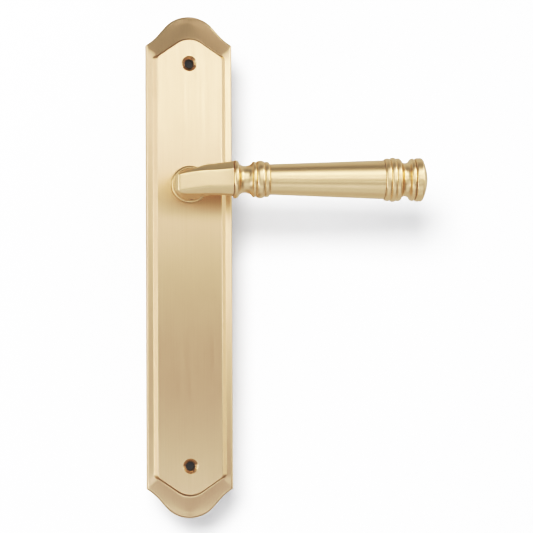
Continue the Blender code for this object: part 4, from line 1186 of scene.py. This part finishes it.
def make_springs():
    """Each plunger gets a body of its own, and each spring hangs on the plate with a mesh of its
    own.
    """
    for name in ("right", "left"):
        plunger = f"{name}_plunger"
        add_piece(plunger, plunger_mesh(plunger), plunger, "zinc_plated_steel")
        node = f"{name}_spring"
        spring = add_piece(node, spring_mesh(node), "plate", "spring_steel")
        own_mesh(spring)


# Stage, lights and camera

VIEW_AZIMUTH = math.radians(-6.1)
VIEW_ELEVATION = math.radians(-1.45)
VIEW_ROLL = math.radians(-0.25)
VIEW_DISTANCE = 1.080
VIEW_TARGET = Vector((0.0376, 0.0, -0.0388))
LENS = 151.3
SENSOR = 36.0
CLIP_RANGE = (0.05, 20.0)

WALL_Y = 0.054  # just behind the spindle's end
FLOOR_Z = -0.62
SWEEP_RADIUS = 0.10
SWEEP_STEPS = 24
STAGE_HALF_WIDTH = 1.6
STAGE_TOP_Z = 1.3
STAGE_FRONT_Y = -1.6
PAPER = (0.64, 0.64, 0.64)
# Painted shade: a dark disc behind each screw hole stands for the shade deep inside the hole.
HOLE_PAINTED_SHADE = (0.02, 0.016, 0.012)
HOLE_PAINTED_GLOW = 0.1  # painted light: the disc glows a little, so that the painted shade in a screw hole is dark grey and not black
HOLE_DISC_RADIUS = SCREW_HOLE_RADIUS + 1.0 * MM
HOLE_DISC_STEPS = 32
CARD_GLOW = 0.58  # of the sheet that the metal mirrors in place of the wall
CARD_Y = WALL_Y - 1.0 * MM
CARD_FOOT_Z = -0.9


def direction(azimuth, elevation):
    """The unit vector towards a place round the object, where azimuth 0 is straight in front."""
    x = math.sin(azimuth) * math.cos(elevation)
    y = -math.cos(azimuth) * math.cos(elevation)
    return Vector((x, y, math.sin(elevation)))


def make_camera():
    data = bpy.data.cameras.new("camera")
    data.sensor_width = SENSOR
    data.lens = LENS
    data.clip_start, data.clip_end = CLIP_RANGE
    camera = linked("camera", data)
    back = direction(VIEW_AZIMUTH, VIEW_ELEVATION)
    camera.location = VIEW_TARGET + back * VIEW_DISTANCE
    turn = (-back).to_track_quat("-Z", "Y").to_matrix().to_4x4()
    camera.matrix_world = (
        Matrix.Translation(camera.location) @ turn @ Matrix.Rotation(VIEW_ROLL, 4, "Z")
    )
    bpy.context.scene.camera = camera


def stage_material(name, colour, glow=0.0):
    """Matt, and clear from behind, so that the object can be viewed from there."""
    matt = Finish(name, Base_Color=(*colour, 1.0), Roughness=1.0, Specular_IOR_Level=0.0)
    matt.shade(Emission_Color=(1.0, 1.0, 1.0, 1.0), Emission_Strength=glow)
    front = matt.shader.outputs["BSDF"]
    back = matt.node("ShaderNodeBsdfTransparent", {}).outputs["BSDF"]
    behind = matt.node("ShaderNodeNewGeometry", {}).outputs["Backfacing"]
    mix = matt.node("ShaderNodeMixShader", {"Fac": behind, 1: front, 2: back})
    matt.fill(matt.tree.nodes["Material Output"].inputs["Surface"], mix.outputs["Shader"])
    return matt.material


def sheet_object(name, line, material):
    """A sheet of paper stretched sideways from a line of (y, z) points."""
    bm = bmesh.new()
    left, right = [
        [bm.verts.new((x, y, z)) for y, z in line] for x in (-STAGE_HALF_WIDTH, STAGE_HALF_WIDTH)
    ]
    for i in range(len(line) - 1):
        bm.faces.new((left[i], left[i + 1], right[i + 1], right[i]))
    mesh = to_mesh(bm, name)
    mesh.shade_smooth()
    mesh.materials.append(material)
    sheet = linked(name, mesh)
    return sheet


def make_stage():
    """A pale wall behind the spindle, which curves into a floor towards the camera."""
    paper = stage_material("stage_paper", PAPER)
    turn = FLOOR_Z + SWEEP_RADIUS
    curve = arc((WALL_Y - SWEEP_RADIUS, turn), SWEEP_RADIUS, 0.0, -math.pi / 2, SWEEP_STEPS)
    for name, line in (
        ("wall", [(WALL_Y, STAGE_TOP_Z), (WALL_Y, turn)]),
        ("floor", curve + [(STAGE_FRONT_Y, FLOOR_Z)]),
    ):
        sheet_object(name, line, paper).visible_glossy = False


def make_reflection_card():
    """A sheet just before the wall that only the metal mirrors, dimmer than the white paper."""
    glow = stage_material("reflection_card", (0.0, 0.0, 0.0), CARD_GLOW)
    card = sheet_object("reflection_card", [(CARD_Y, STAGE_TOP_Z), (CARD_Y, CARD_FOOT_Z)], glow)
    for ray in ("camera", "diffuse", "shadow", "transmission"):
        setattr(card, f"visible_{ray}", False)


def make_painted_hole_shades():
    """Painted shade behind each screw hole: a small dark disc with a faint painted glow, which
    shows only through the hole.
    """
    dark = stage_material("painted_hole_shade", HOLE_PAINTED_SHADE, HOLE_PAINTED_GLOW)
    for number, z in enumerate(SCREW_HOLE_Z, 1):
        bm = bmesh.new()
        rim = circle((0.0, z), HOLE_DISC_RADIUS, HOLE_DISC_STEPS)
        bm.faces.new([bm.verts.new(point) for point in level(rim, -GAP)])
        mesh = to_mesh(bm, f"painted_shade_disc_{number}")
        mesh.materials.append(dark)
        disc = linked(mesh.name, mesh)


LIGHT_TARGET = Vector((0.02, -0.02, -0.02))  # near the middle of the object

WHITE = (1.0, 1.0, 1.0)
COOL = (0.97, 1.0, 1.1)  # the light from below is a little cooler, as off a grey floor

# Each light as its azimuth and elevation in degrees, distance, (width, height) and power.
SOFTBOXES = {
    "over_52": (0.0, 52.0, 1.2, (1.3, 0.25), 0.49),
    "front_11": (0.0, 11.0, 1.2, (1.3, 0.13), 0.96),
    "front_5": (0.0, 5.0, 1.2, (1.3, 0.13), 0.33),
    "under_14": (0.0, -14.0, 1.2, (1.3, 0.16), 0.68),
    "under_38": (0.0, -38.0, 0.9, (1.2, 0.22), 0.43),
    "under_52": (0.0, -52.0, 0.7, (1.1, 0.22), 0.36),
    "left_front": (-50.0, 8.0, 1.2, (0.5, 0.5), 0.5),
    "left_side": (-80.0, 5.0, 1.0, (0.35, 0.9), 1.5),
    "left_low": (-60.0, -25.0, 1.0, (0.5, 0.5), 0.8),
    "right_high": (55.0, 38.0, 1.2, (0.5, 0.5), 1.6),
    "right_front": (50.0, 8.0, 1.2, (0.5, 0.5), 1.4),
    "right_side": (87.0, 5.0, 1.0, (0.35, 0.9), 1.1),
}
LEVER_LIGHTS = {
    "lever_over": (0.0, 35.0, 1.2, (1.3, 0.5), 2.35),
    "lever_under": (0.0, -78.0, 0.7, (0.9, 0.3), 0.35),
}
SHADOW_KEY = (-10.0, 8.5, 1.3, (0.3, 0.3), 22.0)  # draws the soft shadow on the wall behind
WORLD_STRENGTH = 0.3


def add_softbox(name, azimuth, elevation, distance, size, power):
    """A rectangular area light that faces LIGHT_TARGET."""
    data = bpy.data.lights.new(name, "AREA")
    data.shape = "RECTANGLE"
    data.size, data.size_y = size
    data.energy = power
    data.color = COOL if elevation < 0.0 else WHITE
    light = linked(name, data)
    back = direction(math.radians(azimuth), math.radians(elevation))
    light.location = LIGHT_TARGET + back * distance
    light.rotation_mode = "QUATERNION"
    light.rotation_quaternion = (-back).to_track_quat("-Z", "Y")
    return light


def make_lights():
    for name, place in SOFTBOXES.items():
        add_softbox(name, *place)
    lever = bpy.data.collections.new("lever_pieces")
    for piece in LEVER_PIECES:
        lever.objects.link(piece)
    for name, place in LEVER_LIGHTS.items():
        add_softbox(name, *place).light_linking.receiver_collection = lever
    add_softbox("shadow_key", *SHADOW_KEY).visible_glossy = False
    world = bpy.data.worlds.new("studio")
    world.use_nodes = True
    background = world.node_tree.nodes["Background"]
    background.inputs["Color"].default_value = (1.0, 1.0, 1.0, 1.0)
    background.inputs["Strength"].default_value = WORLD_STRENGTH
    bpy.context.scene.world = world


# The tone curve's points, as (scene light, display light).
TONE_CURVE = (
    (0.0, 0.0),
    (0.1, 0.035),
    (0.2, 0.102),
    (0.32, 0.279),
    (0.5, 0.57),
    (0.89, 0.905),
    (1.3, 1.0),
    (2.0, 1.0),
)


def set_tone():
    """A product photograph's tone: deep shadows and a soft white shoulder."""
    settings = bpy.context.scene.view_settings
    settings.view_transform = "Standard"
    settings.use_curve_mapping = True
    mapping = settings.curve_mapping
    mapping.clip_max_x = TONE_CURVE[-1][0]
    points = mapping.curves[3].points
    points[0].location = TONE_CURVE[0]
    points[1].location = TONE_CURVE[-1]
    for place in TONE_CURVE[1:-1]:
        points.new(*place)
    mapping.update()


make_plate_body()
make_lever_body()
make_springs()
make_stage()
make_reflection_card()
# painted shade behind the screw holes
make_painted_hole_shades()
make_lights()
make_camera()
set_tone()
